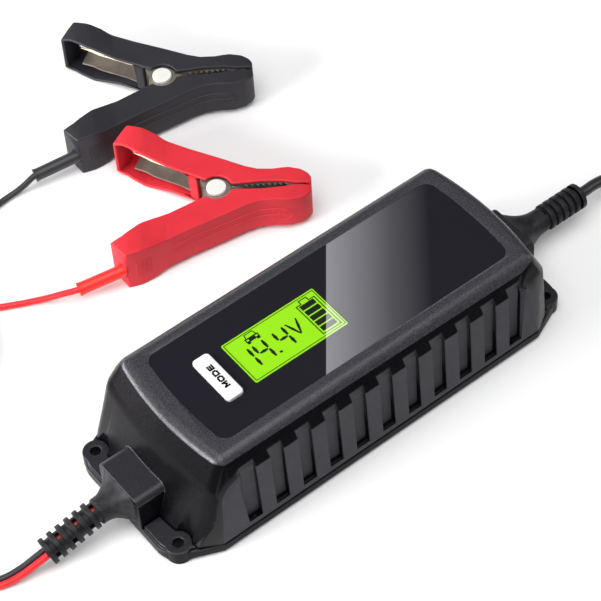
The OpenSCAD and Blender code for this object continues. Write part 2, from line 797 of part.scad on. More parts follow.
// Rings along +Z, with slots that pierce the neck on alternating sides
module relief_rings(pitch, back) {
    slot = pitch - ring_t;
    difference() {
        union() {
            translate([0, 0, -back]) cylinder(d = neck_d, h = relief_rings * pitch - 0.5 + back);
            for (i = [0:relief_rings - 1]) {
                translate([0, 0, slot + i * pitch]) cylinder(d = ring_d, h = ring_t);
            }
        }
        for (i = [0:relief_rings - 1]) {
            translate([0, 0, slot / 2 + i * pitch]) rotate([0, 0, 90 * (i % 2)])
                cube([ring_d, 3.4, slot - 0.4], center = true);
        }
    }
}

module mains_strain_relief() {
    color("dimgray") translate([boss_x, 0, cable_z]) rotate([0, 90, 0]) difference() {
        union() {
            relief_base(mains_flare_l);
            translate([0, 0, mains_flare_l]) relief_rings(mains_ring_pitch, 1);
        }
        cylinder(d = mains_bore, h = 200, center = true);
    }
}

module battery_strain_relief() {
    color("dimgray") translate([battery_joint_x, 0, cable_z]) difference() {
        union() {
            translate([battery_flare_l, 0, 0]) rotate([0, -90, 0]) relief_base(battery_flare_l);
            rotate([0, -90 - battery_droop, 0]) relief_rings(battery_ring_pitch, 2);
        }
        rotate([0, 90, 0]) translate([0, 0, -1]) cylinder(d = battery_bore, h = 60);
        rotate([0, -90 - battery_droop, 0]) translate([0, 0, -1])
            cylinder(d = battery_bore, h = 60);
    }
}

// ---------------------------------------------------------------- mains cable

module coil(at, mean_d, bundle) {
    translate([at[0], at[1], coil_floor]) rotate_extrude($fn = 96)
        translate([mean_d / 2, bundle / 2]) soft_rect(bundle, bundle, bundle * 0.28);
}

// A band round the coil's bundle, at the given angle
module coil_tie(at, mean_d, bundle, angle) {
    inner = bundle + 0.2;
    translate([at[0], at[1], coil_floor + bundle / 2]) rotate([0, 0, angle])
        translate([mean_d / 2, 0, 0]) rotate([90, 0, 0]) linear_extrude(4, center = true)
        difference() {
            soft_rect(inner + 2 * tie_t, inner + 2 * tie_t, inner * 0.28 + tie_t);
            soft_rect(inner, inner, inner * 0.28);
        }
}

module mains_cord() {
    color("black") {
        cable(mains_route, mains_d, mains_d, 10);
        cable(mains_tail_route, mains_d, mains_d, 10);
    }
}

module mains_coil() {
    color("black") coil(mains_coil_at, mains_coil_d, mains_bundle);
}

module mains_coil_tie() {
    color("dimgray") coil_tie(mains_coil_at, mains_coil_d, mains_bundle, 8);
}

module mains_plug() {
    front = -plug_body_l;
    color("black") translate([plug_at[0], plug_at[1], plug_h / 2 + floor_gap]) difference() {
        union() {
            intersection() {
                linear_extrude(plug_h, center = true) polygon([[front, 7], [front + 3, 13],
                    [front + 8, plug_w / 2], [front + 17, plug_w / 2], [-9, 8], [-5, 5],
                    [-5, -5], [-9, -8], [front + 17, -plug_w / 2], [front + 8, -plug_w / 2],
                    [front + 3, -13], [front, -7]]);
                rotate([90, 0, 0]) linear_extrude(plug_w, center = true)
                    polygon([[front, -plug_h / 2 + 1], [front + 1, -plug_h / 2],
                        [-16, -plug_h / 2], [-5, -5], [-5, 5], [-16, plug_h / 2],
                        [front + 1, plug_h / 2], [front, plug_h / 2 - 1]]);
            }
            translate([-plug_tail_l, 0, 0]) rotate([0, 90, 0]) cylinder(d = 8.4, h = plug_tail_l);
        }
        for (s = [-1, 1]) {
            translate([front - 1, s * pin_pitch / 2 * 0.97, 0]) rotate([0, 90, 0])
                cylinder(d = pin_d, h = 9);
        }
    }
}

module plug_pins() {
    front = plug_at[0] - plug_body_l;
    color("silver") for (s = [-1, 1]) {
        translate([front - pin_l, plug_at[1] + s * pin_pitch / 2 * 0.97,
            plug_h / 2 + floor_gap]) rotate([0, 90, 0]) {
            translate([0, 0, pin_d / 2]) cylinder(d = pin_d, h = pin_l + 8 - pin_d / 2);
            translate([0, 0, pin_d / 2]) sphere(d = pin_d);
        }
    }
}

// ---------------------------------------------------------------- battery cable

module battery_lead() {
    color("red") cable(battery_route, 2 * core_d, core_d, 8);
}

module battery_coil() {
    color("red") coil(battery_coil_at, battery_coil_d, battery_bundle);
}

module battery_coil_tie() {
    color("black") coil_tie(battery_coil_at, battery_coil_d, battery_bundle, -100);
}

module black_wire() {
    color("black") cable(black_route, core_d, core_d, 8);
}

module red_wire() {
    color("red") cable(red_route, core_d, core_d, 8);
}

module on_sleeve_axis() {
    translate(sleeve_start) rotate([0, 90 + sleeve_tilt, sleeve_turn]) children();
}

module sleeve() {
    on_sleeve_axis() rotate_extrude() polygon([[core_d / 2 + fit_gap, -6],
        [sleeve_d / 2, -6], [sleeve_d / 2, sleeve_l - 2], [sleeve_d / 2 + 0.3, sleeve_l],
        [core_d / 2 + fit_gap, sleeve_l]]);
}

module black_sleeve() {
    color("black") place_black() sleeve();
}

module red_sleeve() {
    color("red") place_red() sleeve();
}

// ---------------------------------------------------------------- clamps

module place_black() {
    translate(black_pivot) rotate([0, 0, black_turn]) children();
}

module place_red() {
    translate(red_pivot) rotate([0, 0, red_turn]) children();
}

// The fixed arm is the moving arm's mirror image
module fixed_side() {
    mirror([0, 1, 0]) children();
}

// The thickness profile of a cover, pulled in by t on both faces
module cover_sides(t) {
    upper = [for (p = grip_profile) [p[0], arm_half(p[1]) - t]];
    lower = [for (i = [len(upper) - 1:-1:0]) [upper[i][0], -upper[i][1]]];
    rotate([90, 0, 0]) linear_extrude(200, center = true) polygon(concat(upper, lower));
}

// Half the thickness at a profile step: 0 is the grip, 1 the jaw, and so on
function arm_half(step) = step < 0 ? grip_w / 2 + step
    : step <= 1 ? grip_w / 2 + (jaw_w / 2 - grip_w / 2) * step
    : jaw_w / 2 - (step - 1) * 2;

module arm_outline() {
    notch = [for (i = [0:8]) let (turn = 20 + 115 * i / 8) 6.9 * [cos(turn), sin(turn)]];
    polygon(concat(arm_back, arm_edge, notch, [for (i = [1:4]) tail_edge[i]]));
}

// The arm's back line t inside, up to its point number last. Its tip is t shorter too.
function inner_back(t, last) = let (back = moved_line(arm_back, -t))
    [for (i = [1:last]) back[i] - [i > 9 ? t : 0, 0]];

// The hollow inside a cover, open towards the other arm
module arm_hollow() {
    tail = moved_line([tail_edge[4], arm_back[0], arm_back[1]], -cover_wall);
    mouth = tail[0] + 4 * (tail[0] - tail[1]) / norm(tail[0] - tail[1]);
    linear_extrude(200, center = true) polygon(concat([tail[1]], inner_back(cover_wall, 12),
        [[jaw_l - cover_wall, -3], [0, -3], [-20, 4], mouth]));
}

module cover() {
    difference() {
        intersection() {
            linear_extrude(200, center = true) arm_outline();
            cover_sides(0);
        }
        intersection() {
            arm_hollow();
            cover_sides(cover_wall);
        }
        cylinder(r = 6.8, h = 200, center = true);
    }
    cross_wall(jaw_w - 1, 0);
}

// The wall across a cover between its grip and the pivot, let out by gap
module cross_wall(w, gap) {
    translate([-5, 5, 0]) rotate([0, 0, atan2(6.5, -12)]) translate([4.6 - gap, -2.4 - gap, 0])
        linear_extrude(w, center = true) square([4.5 + 2 * gap, 2.3 + 2 * gap]);
}

// Side plate of a metal jaw: ear round the rivet, teeth towards the other jaw
module jaw_plate() {
    back = inner_back(cover_wall + fit_gap, 10);
    deep = moved_line(arm_back, -cover_wall - 9);
    pitch = 2.6;
    teeth = [for (i = [0:10], k = [0, 1]) [jaw_l - 3.4 - (i + 0.5 * k) * pitch,
        (i < 3 ? 0.3 : 1.9) + 1.1 * k]];
    polygon(concat(back, [[jaw_l - 4.4, 5], [jaw_l - 3.2, 1.4]], teeth,
        [[9, 2.6], [-4, 6], deep[4], deep[3], deep[2], deep[1]]));
    circle(r = 6.4);
    polygon([[-6, 2], [6, 2], [10, 12], [-10, 18]]);
}

module jaw(half) {
    back = inner_back(cover_wall + fit_gap, 10);
    inside = inner_back(cover_wall + fit_gap + sheet_t, 10);
    taper = [for (i = [6:8]) [grip_profile[i][0],
        arm_half(grip_profile[i][1]) - cover_wall - fit_gap]];
    difference() {
        union() {
            for (s = [-1, 1]) {
                translate([0, 0, s * (half - sheet_t / 2)])
                    linear_extrude(sheet_t, center = true) jaw_plate();
            }
            linear_extrude(2 * half, center = true)
                polygon(concat(back, [for (i = [len(inside) - 1:-1:0]) inside[i]]));
        }
        cylinder(r = rivet_d / 2 + pivot_gap, h = 200, center = true);
        cross_wall(jaw_w, fit_gap);
        for (s = [0, 1]) {
            mirror([0, 0, s]) rotate([90, 0, 0]) linear_extrude(jaw_l, center = true)
                polygon(concat(taper, [[taper[2][0], jaw_w], [taper[0][0], jaw_w]]));
        }
    }
}

module rivet() {
    cylinder(d = rivet_d, h = 2 * jaw_metal + 1, center = true);
    for (s = [-1, 1]) {
        translate([0, 0, s * (jaw_metal + 0.9)]) cylinder(d = rivet_head_d, h = 1.8, center = true);
    }
}

module spring() {
    coil_r = rivet_d / 2 + spring_wire / 2 + 0.8;
    turns = 6;
    lift = 0.92 * spring_wire;
    top = turns * lift / 2;
    turn_sides = [for (i = [0:turns - 1], turn = [-90:45:45])
        [coil_r + spring_wire / 2 * cos(turn), lift * (i + 0.5 + sin(turn) / 2) - top]];
    rotate_extrude() polygon(concat([[coil_r - spring_wire / 2, -top]], turn_sides,
        [[coil_r, top], [coil_r - spring_wire / 2, top]]));
    leg_r = coil_r + 0.15;
    for (s = [-1, 1]) {
        translate([leg_r * cos(40), s * leg_r * sin(40), s * (top - lift / 2 - 0.2)])
            rotate([0, 90, s * 130]) cylinder(d = spring_wire, h = 23);
    }
}

// Wire end in a crimped barrel on the fixed jaw's back
module crimp() {
    barrel_from = [-38, -33.6, 0];
    barrel_to = [-31.5, -31, 0];
    cable([sleeve_end, sleeve_start, [-43.6, -37.4, -1.7], [-40.6, -35.4, -0.7], barrel_from],
        core_d, core_d, 8);
    bar(barrel_from, barrel_to, core_d + 1.6);
    translate([-34.8, -32.3, 0]) rotate([0, 0, 21.8]) translate([0, -1.9, 0])
        cube([6, 1.4, 5], center = true);
}

module black_fixed_cover() {
    color("dimgray") place_black() fixed_side() cover_with_hole();
}

// The hole takes the wire's sleeve
module cover_with_hole() {
    difference() {
        cover();
        mirror([0, 1, 0]) on_sleeve_axis() cylinder(d = sleeve_d + 0.2, h = sleeve_l, center = true);
    }
}

module black_fixed_jaw() {
    color("goldenrod") place_black() fixed_side() jaw(jaw_metal);
}

module black_moving_cover() {
    color("dimgray") place_black() cover();
}

module black_moving_jaw() {
    color("goldenrod") place_black() jaw(moving_metal);
}

module black_rivet() {
    color("silver") place_black() rivet();
}

module black_spring() {
    color("silver") place_black() spring();
}

module black_crimp() {
    color("silver") place_black() crimp();
}

module red_fixed_cover() {
    color("crimson") place_red() fixed_side() cover_with_hole();
}

module red_fixed_jaw() {
    color("goldenrod") place_red() fixed_side() jaw(jaw_metal);
}

module red_moving_cover() {
    color("crimson") place_red() cover();
}

module red_moving_jaw() {
    color("goldenrod") place_red() jaw(moving_metal);
}

module red_rivet() {
    color("silver") place_red() rivet();
}

module red_spring() {
    color("silver") place_red() spring();
}

module red_crimp() {
    color("silver") place_red() crimp();
}

lower_casing();
upper_casing();
label_panel();
lcd_window();
lcd_module();
mode_button();
switch_stem();
button_switch();
display_board();
display_ribbon();
main_board();
transformer();
mains_choke();
bulk_capacitor();
output_capacitors();
heatsinks();
power_transistors();
fuse();
mains_inner_wires();
battery_inner_wires();
casing_screws();
board_screws();
mains_strain_relief();
battery_strain_relief();
mains_cord();
mains_coil();
mains_coil_tie();
mains_plug();
plug_pins();
battery_lead();
battery_coil();
battery_coil_tie();
black_wire();
red_wire();
black_sleeve();
red_sleeve();
black_fixed_cover();
black_fixed_jaw();
black_moving_cover();
black_moving_jaw();
black_rivet();
black_spring();
black_crimp();
red_fixed_cover();
red_fixed_jaw();
red_moving_cover();
red_moving_jaw();
red_rivet();
red_spring();
red_crimp();
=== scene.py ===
# A car battery charger on a pale table: a ribbed two-part casing with a display and a mode
# button, a mains lead with its plug, and a twin battery lead with two sprung clamps.
from math import atan2, cos, pi, radians, sin, sqrt

import bmesh
import bpy
from mathutils import Matrix, Vector
from mathutils.bvhtree import BVHTree


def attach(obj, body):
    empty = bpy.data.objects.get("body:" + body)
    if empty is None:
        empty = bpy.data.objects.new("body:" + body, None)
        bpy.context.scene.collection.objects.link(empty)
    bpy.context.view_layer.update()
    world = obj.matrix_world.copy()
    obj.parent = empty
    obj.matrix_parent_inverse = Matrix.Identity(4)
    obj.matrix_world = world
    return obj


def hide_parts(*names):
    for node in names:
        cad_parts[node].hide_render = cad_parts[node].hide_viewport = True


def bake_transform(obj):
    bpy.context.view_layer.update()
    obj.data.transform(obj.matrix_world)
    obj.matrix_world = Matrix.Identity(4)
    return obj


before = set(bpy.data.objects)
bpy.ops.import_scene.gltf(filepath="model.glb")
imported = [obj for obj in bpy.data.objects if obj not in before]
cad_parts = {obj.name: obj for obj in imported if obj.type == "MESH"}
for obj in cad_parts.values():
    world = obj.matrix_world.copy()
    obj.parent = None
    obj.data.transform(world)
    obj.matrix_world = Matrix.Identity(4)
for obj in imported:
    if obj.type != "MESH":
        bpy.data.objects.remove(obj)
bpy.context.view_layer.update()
MM = 0.001


# ---------------------------------------------------------------- camera, floor and lights
# The charger lies on a pale table in a bright, soft room. The camera looks down on the
# battery end from the front left, with a long lens.
def look_from(azimuth, elevation, roll, aim, reach, lens):
    az, el, tilt = radians(azimuth), radians(elevation), radians(roll)
    ahead = Vector((-sin(az) * cos(el), cos(az) * cos(el), -sin(el)))
    side = ahead.cross(Vector((0, 0, 1))).normalized()
    up = side.cross(ahead)
    turned_side = side * cos(tilt) + up * sin(tilt)
    turned_up = up * cos(tilt) - side * sin(tilt)
    camera = bpy.data.objects.new("camera", bpy.data.cameras.new("camera"))
    camera.data.lens = lens
    camera.data.sensor_width = 36
    camera.data.clip_start = 0.05
    turn = Matrix((turned_side, turned_up, -ahead)).transposed().to_4x4()
    camera.matrix_world = Matrix.Translation(Vector(aim) - ahead * reach) @ turn
    bpy.context.scene.collection.objects.link(camera)
    bpy.context.scene.camera = camera


look_from(-35.061, 50.989, -3.984, (0.019586, 0.042788, 0), 0.95706, 128.385)


def soft_light(name, where, aim, width, height, watts, tint=(1, 1, 1)):
    lamp = bpy.data.lights.new(name, "AREA")
    lamp.shape = "RECTANGLE"
    lamp.size, lamp.size_y = width, height
    lamp.energy = watts
    lamp.color = tint
    light = bpy.data.objects.new(name, lamp)
    away = Vector(where) - Vector(aim)
    turn = away.to_track_quat("Z", "Y").to_matrix().to_4x4()
    light.matrix_world = Matrix.Translation(where) @ turn
    bpy.context.scene.collection.objects.link(light)


soft_light("overhead", (-0.25, -0.3, 1.75), (0.02, 0.1, 0), 1.9, 1.7, 33)
soft_light("left_window", (-1.1, 0.22, 0.48), (-0.09, 0, 0.04), 0.5, 0.28, 13)
soft_light("far_left_window", (-0.85, 0.84, 0.2), (-0.09, 0, 0.04), 0.6, 0.24, 9)
soft_light("far_strip", (0.1, 1.5, 0.35), (0, 0.1, 0.03), 1.6, 0.25, 4)
soft_light("right_strip", (0.95, -0.35, 0.5), (0.09, -0.02, 0.03), 0.3, 0.6, 2)

room = bpy.data.worlds.new("room")
bpy.context.scene.world = room
room.use_nodes = True
room.node_tree.nodes["Background"].inputs["Color"].default_value = (1, 1, 1, 1)
room.node_tree.nodes["Background"].inputs["Strength"].default_value = 0.12
bpy.context.scene.view_settings.view_transform = "Standard"


def new_piece(name, bm, body="charger", closed=False):
    """A finished mesh piece at the origin, riding on its body. Closed shells keep their
    faces' directions."""
    if not closed:
        bmesh.ops.recalc_face_normals(bm, faces=bm.faces)
    mesh = bpy.data.meshes.new(name)
    bm.to_mesh(mesh)
    bm.free()
    piece = bpy.data.objects.new(name, mesh)
    bpy.context.scene.collection.objects.link(piece)
    if body:
        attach(piece, body)
    return piece


def ink(*levels):
    """A colour from its display levels, 0 to 255."""
    return tuple(((c / 255 + 0.055) / 1.055) ** 2.4 for c in levels)


def wire_up(name, shader_values):
    """A material whose shader has the given plain values; returns it with its tree."""
    material = bpy.data.materials.new(name)
    material.use_nodes = True
    tree = material.node_tree
    shader = tree.nodes["Principled BSDF"]
    for socket, value in shader_values.items():
        shader.inputs[socket].default_value = value
    return material, tree, shader


def grained(name, colour, roughness, grain=0.5, depth=0.03, blotch=0.12, blotch_size=9.0,
            rough_swing=0.06, **shader_values):
    """A moulded or drawn surface: fine grain of the given size in mm, and slow blotches."""
    material, tree, shader = wire_up(name, shader_values)
    nodes, links = tree.nodes, tree.links
    place = nodes.new("ShaderNodeTexCoord").outputs["Object"]
    slow = nodes.new("ShaderNodeTexNoise")
    slow.inputs["Scale"].default_value = 1000 / blotch_size
    slow.inputs["Detail"].default_value = 5
    links.new(place, slow.inputs["Vector"])
    tint = nodes.new("ShaderNodeValToRGB")
    tint.color_ramp.elements[0].position = 0.3
    tint.color_ramp.elements[1].position = 0.7
    tint.color_ramp.elements[0].color = [c * (1 - blotch) for c in colour] + [1]
    tint.color_ramp.elements[1].color = [min(c * (1 + blotch), 1) for c in colour] + [1]
    links.new(slow.outputs["Fac"], tint.inputs["Fac"])
    links.new(tint.outputs["Color"], shader.inputs["Base Color"])
    fine = nodes.new("ShaderNodeTexNoise")
    fine.inputs["Scale"].default_value = 1000 / grain
    fine.inputs["Detail"].default_value = 2
    links.new(place, fine.inputs["Vector"])
    gloss = nodes.new("ShaderNodeMapRange")
    gloss.inputs["From Min"].default_value = 0.3
    gloss.inputs["From Max"].default_value = 0.7
    gloss.inputs["To Min"].default_value = max(roughness - rough_swing, 0.02)
    gloss.inputs["To Max"].default_value = min(roughness + rough_swing, 1)
    links.new(fine.outputs["Fac"], gloss.inputs["Value"])
    links.new(gloss.outputs["Result"], shader.inputs["Roughness"])
    relief = nodes.new("ShaderNodeBump")
    relief.inputs["Strength"].default_value = 1
    relief.inputs["Distance"].default_value = depth * MM
    links.new(fine.outputs["Fac"], relief.inputs["Height"])
    links.new(relief.outputs["Normal"], shader.inputs["Normal"])
    return material


def dress(piece, *materials):
    if piece.data.materials:
        piece.data.materials.clear()
    for material in materials:
        piece.data.materials.append(material)


table_bm = bmesh.new()
bmesh.ops.create_grid(table_bm, x_segments=1, y_segments=1, size=0.42)
bmesh.ops.translate(table_bm, verts=table_bm.verts, vec=(0.03, 0.05, -0.00005))
table = new_piece("table", table_bm, body=None)
dress(table, grained("pale_table", (0.93, 0.93, 0.935), 0.7, grain=2.0, depth=0.02, blotch=0.01,
                     blotch_size=300))


# ---------------------------------------------------------------- cables
# The mains cable is one round two-core lead in a soft black jacket; the battery lead is a
# black and a red core moulded side by side, which part at the coil and run to a clamp each.
# What isn't in use is wound into a round coil with a band round it.
def laid_wire(name, points, diameter):
    line = bpy.data.curves.new(name, "CURVE")
    line.dimensions = "3D"
    line.bevel_depth = 1
    line.bevel_resolution = 3
    line.resolution_u = 3
    line.use_fill_caps = True
    spline = line.splines.new("BEZIER")
    spline.bezier_points.add(len(points) - 1)
    for knot, point in zip(spline.bezier_points, points):
        knot.co = Vector(point) * MM
        knot.handle_left_type = knot.handle_right_type = "AUTO"
        knot.radius = diameter / 2 * MM
    wire = bpy.data.objects.new(name, line)
    bpy.context.scene.collection.objects.link(wire)
    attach(wire, "charger")
    return wire


def wound(centre, start, slots, last, shift=45, step=20):
    """Points of a clockwise coil. slots are (radius, height) of its full turns; last gives
    the final part-turn's (radius, height, end angle). Turns change slot after start."""
    points = []
    slots = slots + [last[:2]]
    total = 360 * (len(slots) - 1) + (start - last[2]) % 360
    count = round(total / step)
    for i in range(1, count + 1):
        swept = total * i / count
        turn = min(int(swept // 360), len(slots) - 1)
        ease = min((swept - 360 * turn) / shift, 1)
        ease = ease * ease * (3 - 2 * ease)
        radius, height = slots[turn]
        if turn > 0:
            radius = slots[turn - 1][0] * (1 - ease) + radius * ease
            height = slots[turn - 1][1] * (1 - ease) + height * ease
        angle = radians(start - swept)
        points.append((centre[0] + radius * cos(angle), centre[1] + radius * sin(angle), height))
    return points


mains_d = 5.2
mains_centre, mains_mean = (212, -44), 29
low, mid, high = 3.9, 9.1, 14.3
inner, middle, outer = mains_mean - 5.2, mains_mean, mains_mean + 5.2
mains_points = [(146.6, 0, 14.6), (151.5, 0.3, 14.2), (157, 1.2, 13), (166, 1.6, 10.5),
                (175, 0.4, 7.6), (184, -2.6, 5), (193, -7.5, 3.4), (202, -12, 2.8),
                (209, -15.2, 3.2)]
mains_points += wound(mains_centre, 80, [(inner, low), (inner, mid), (inner, high),
                                         (middle, high), (outer, high), (outer, mid),
                                         (middle, mid)], (middle, low, -88))
mains_points += [(204, -73.8, 2.9), (196, -76, 3.6), (190, -78.4, 5.2), (184, -79.8, 6.6),
                 (180, -80, 7)]
mains_cord = laid_wire("mains_cable", mains_points, mains_d)
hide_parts("mains_cord", "mains_coil")

core_d = 3
core_z = core_d / 2 + 0.1
battery_tip = (-144.62, 0, 9.11)
battery_route = [battery_tip, (-150, 0.6, 7.2), (-156, 1.7, 4.6), (-163, 3.6, 2.4),
                 (-170, 6.6, core_z), (-177, 12, core_z), (-182.5, 20, core_z),
                 (-186, 30, core_z), (-187.5, 42, core_z), (-188, 56, core_z),
                 (-188, 72, core_z), (-187.5, 88, core_z), (-186.5, 103, core_z),
                 (-186, 117, core_z)]
coil_centre = (-152, 130)
coil_rows = [3.0, 6.0, 9.0, 12.0]
red_tail = [(-118.5, 147.8, core_z), (-110, 141, core_z), (-101.5, 134.8, core_z),
            (-93.5, 129.6, core_z), (-86, 125.4, core_z), (-80, 122.2, core_z),
            (-75, 119.4, 1.9), (-70.8, 116.6, 2.9), (-66.8, 113.6, 4.3), (-62.6, 110.6, 6)]
black_tail = [(-138, 165.4, 5.0), (-124, 164.6, 2.6), (-110, 165.2, core_z),
              (-96, 167.2, core_z), (-84, 170, core_z), (-73, 173, core_z),
              (-63, 175.8, core_z), (-54, 178, core_z), (-47.5, 178.6, 1.8),
              (-42.5, 178.1, 3), (-38, 177.3, 5.2)]


def beside(route, offset):
    """The route moved sideways on the floor by offset, to its right."""
    moved = []
    for i, point in enumerate(route):
        ahead = Vector(route[min(i + 1, len(route) - 1)]) - Vector(route[max(i - 1, 0)])
        side = Vector((ahead.y, -ahead.x, 0)).normalized()
        moved.append(Vector(point) + side * offset)
    return moved


def battery_core(name, side, ends_at, tail):
    """side is +1 for the core on the coil's inner side."""
    points = beside(battery_route, side * core_d / 2)
    near, far = 30 - side * core_d / 2, 36 - side * core_d / 2
    slots = [(near, z) for z in coil_rows] + [(far, z) for z in coil_rows[:0:-1]]
    points += wound(coil_centre, 172, slots, (far, coil_rows[0], ends_at))
    return laid_wire(name, points + [Vector(p) for p in tail], core_d), points + tail


def placed(pivot, turn, point):
    """A point of a clamp in the room, from the clamp's own place and turn."""
    a = radians(turn)
    return Vector((pivot[0] + point[0] * cos(a) - point[1] * sin(a),
                   pivot[1] + point[0] * sin(a) + point[1] * cos(a), pivot[2] + point[2]))


CLAMPS = {"red": ((21.8, 106.2, 11.5), -36), "black": ((44.9, 180.5, 11.5), -33)}
SLEEVE_START, SLEEVE_TURN, SLEEVE_TILT, SLEEVE_L = (-46.5, -38.8, -2), 202.4, 4.8, 18
sleeve_way = Vector((cos(radians(SLEEVE_TURN)) * cos(radians(SLEEVE_TILT)),
                     sin(radians(SLEEVE_TURN)) * cos(radians(SLEEVE_TILT)),
                     -sin(radians(SLEEVE_TILT))))
for colour, side, ends_at, tail in (("black", 1, 96, black_tail), ("red", -1, 52, red_tail)):
    pivot, turn = CLAMPS[colour]
    mouth = placed(pivot, turn, Vector(SLEEVE_START) + sleeve_way * SLEEVE_L)
    inside = placed(pivot, turn, Vector(SLEEVE_START) + sleeve_way * (SLEEVE_L - 6))
    wire, points = battery_core(colour + "_core", side, ends_at, tail + [mouth, inside])
    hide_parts("battery_lead", "battery_coil", colour + "_wire")


# ---------------------------------------------------------------- casing halves
# Both halves are moulded in charcoal plastic. The tool's surface is smooth on the shoulders
# and ends, matt on the ribbed side walls, satin on the ears and bosses, and finely speckled
# on the rim round the label.
BACK_TO_BACK, WALL_AREA, FOLD_AREA = -0.97, 60, 15


def reach_from(edge, face):
    """How far a face reaches from one of its edges."""
    start = edge.verts[0].co
    way = (edge.verts[1].co - start).normalized()
    return max((v.co - start - way * (v.co - start).dot(way)).length for v in face.verts)


def rounded_copy(node, round_r, crease=28, tiny=0.1, steps=2, soft=None, soft_r=2.0):
    """A copy of a part's shape with its outer creases rounded as the mould rounds them.
    Creases that soft picks get the larger radius soft_r first."""
    bm = bmesh.new()
    bm.from_mesh(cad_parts[node].data)
    bmesh.ops.remove_doubles(bm, verts=bm.verts, dist=0.001 * MM)
    bmesh.ops.dissolve_degenerate(bm, dist=tiny * MM, edges=bm.edges)
    bmesh.ops.dissolve_limit(bm, angle_limit=radians(1), verts=bm.verts, edges=bm.edges)
    if soft:
        broad = [e for e in bm.edges if len(e.link_faces) == 2
                 and e.calc_face_angle_signed(0) > radians(12) and soft(e)]
        bmesh.ops.bevel(bm, geom=broad, offset=soft_r * MM, offset_type="OFFSET", segments=5,
                        profile=0.5, affect="EDGES", clamp_overlap=False, material=-1)
    walls = BVHTree.FromBMesh(bm)
    creases = []
    for edge in bm.edges:
        if len(edge.link_faces) == 2 and abs(edge.calc_face_angle(0)) > radians(crease) \
                and min(reach_from(edge, f) for f in edge.link_faces) > 1.9 * round_r * MM:
            out = edge.link_faces[0].normal + edge.link_faces[1].normal
            middle = (edge.verts[0].co + edge.verts[1].co) / 2
            if out.length > 0.1 and walls.ray_cast(middle + out * 0.2 * MM, out)[0] is None:
                creases.append(edge)
    bmesh.ops.bevel(bm, geom=creases, offset=round_r * MM, offset_type="OFFSET",
                    segments=steps, profile=0.5, affect="EDGES", clamp_overlap=False,
                    material=-1)
    bm.normal_update()
    folds = [e for e in bm.edges if len(e.link_faces) == 2
             and e.link_faces[0].normal.dot(e.link_faces[1].normal) < BACK_TO_BACK]
    bmesh.ops.dissolve_edges(bm, edges=folds, use_verts=False, use_face_split=False)
    bmesh.ops.triangulate(bm, faces=[f for f in bm.faces if len(f.verts) > 4],
                          ngon_method="EAR_CLIP")
    # a large face folded back over its neighbour closes along its shortest side
    bm.normal_update()
    doubled = []
    for edge in bm.edges:
        if len(edge.link_faces) == 2:
            small, large = sorted(edge.link_faces, key=lambda f: f.calc_area())
            if small.normal.dot(large.normal) < BACK_TO_BACK \
                    and large.calc_area() > WALL_AREA * MM * MM \
                    and small.calc_area() > FOLD_AREA * MM * MM:
                short = min(small.edges, key=lambda e: e.calc_length())
                doubled.append((list(short.verts), [v for v in short.verts if v in edge.verts]))
    for ends, kept in doubled:
        bmesh.ops.pointmerge(bm, verts=ends, merge_co=kept[0].co.copy())
    return bm


def shaded(piece, limit=42):
    """Smooth shading that keeps large faces flat and edges crisp past the limit."""
    piece.data.polygons.foreach_set("use_smooth", [True] * len(piece.data.polygons))
    piece.data.set_sharp_from_angle(angle=radians(limit))
    piece.modifiers.new("even_shading", "WEIGHTED_NORMAL").keep_sharp = True
    return piece


ENDS_FROM, TRAY_TOP = 71.5, 6.9
BOSS_FROM, BOSS_HALF_W, BOSS_TOP = 88, 14.3, 24.4
RECESS_X, RECESS_HALF_L, RECESS_HALF_W, RECESS_Z = 4.3, 78.5, 27.3, 48.4
HOLE_AT, HOLE_ROUND = (100, 29.5), 8


def end_crease(edge):
    """Whether an edge is one of the body's soft creases round its two sloping ends."""
    for vert in edge.verts:
        x, y, z = abs(vert.co.x) / MM, abs(vert.co.y) / MM, vert.co.z / MM
        on_boss = x > BOSS_FROM and y < BOSS_HALF_W and z < BOSS_TOP
        by_label = z > RECESS_Z and y < RECESS_HALF_W \
            and abs(vert.co.x / MM - RECESS_X) < RECESS_HALF_L
        by_hole = (x - HOLE_AT[0]) ** 2 + (y - HOLE_AT[1]) ** 2 < HOLE_ROUND ** 2
        if x < ENDS_FROM or z < TRAY_TOP or on_boss or by_label or by_hole:
            return False
    return True


smooth_shell = grained("casing_smooth", ink(13, 12, 15), 0.3, grain=1.1, depth=0.005,
                       blotch=0.25, blotch_size=14, rough_swing=0.04, IOR=1.18)
satin_shell = grained("casing_satin", ink(38, 38, 42), 0.34, grain=0.35, depth=0.012,
                      blotch=0.35, blotch_size=0.6, rough_swing=0.08, IOR=1.4)
matt_shell = grained("casing_matt", ink(60, 60, 65), 0.6, grain=0.35, depth=0.02, blotch=0.1,
                     blotch_size=6, IOR=1.3)
speckled_shell = grained("casing_speckled", ink(52, 52, 57), 0.34, grain=0.45, depth=0.045,
                         blotch=0.7, blotch_size=0.65, rough_swing=0.12)


def reckon(tree, operation, *values):
    """One step of arithmetic on a surface's place; values are numbers or sockets."""
    step = tree.nodes.new("ShaderNodeMath")
    step.operation = operation
    for socket, value in zip(step.inputs, values):
        if isinstance(value, (int, float)):
            socket.default_value = value
        else:
            tree.links.new(value, socket)
    return step.outputs[0]


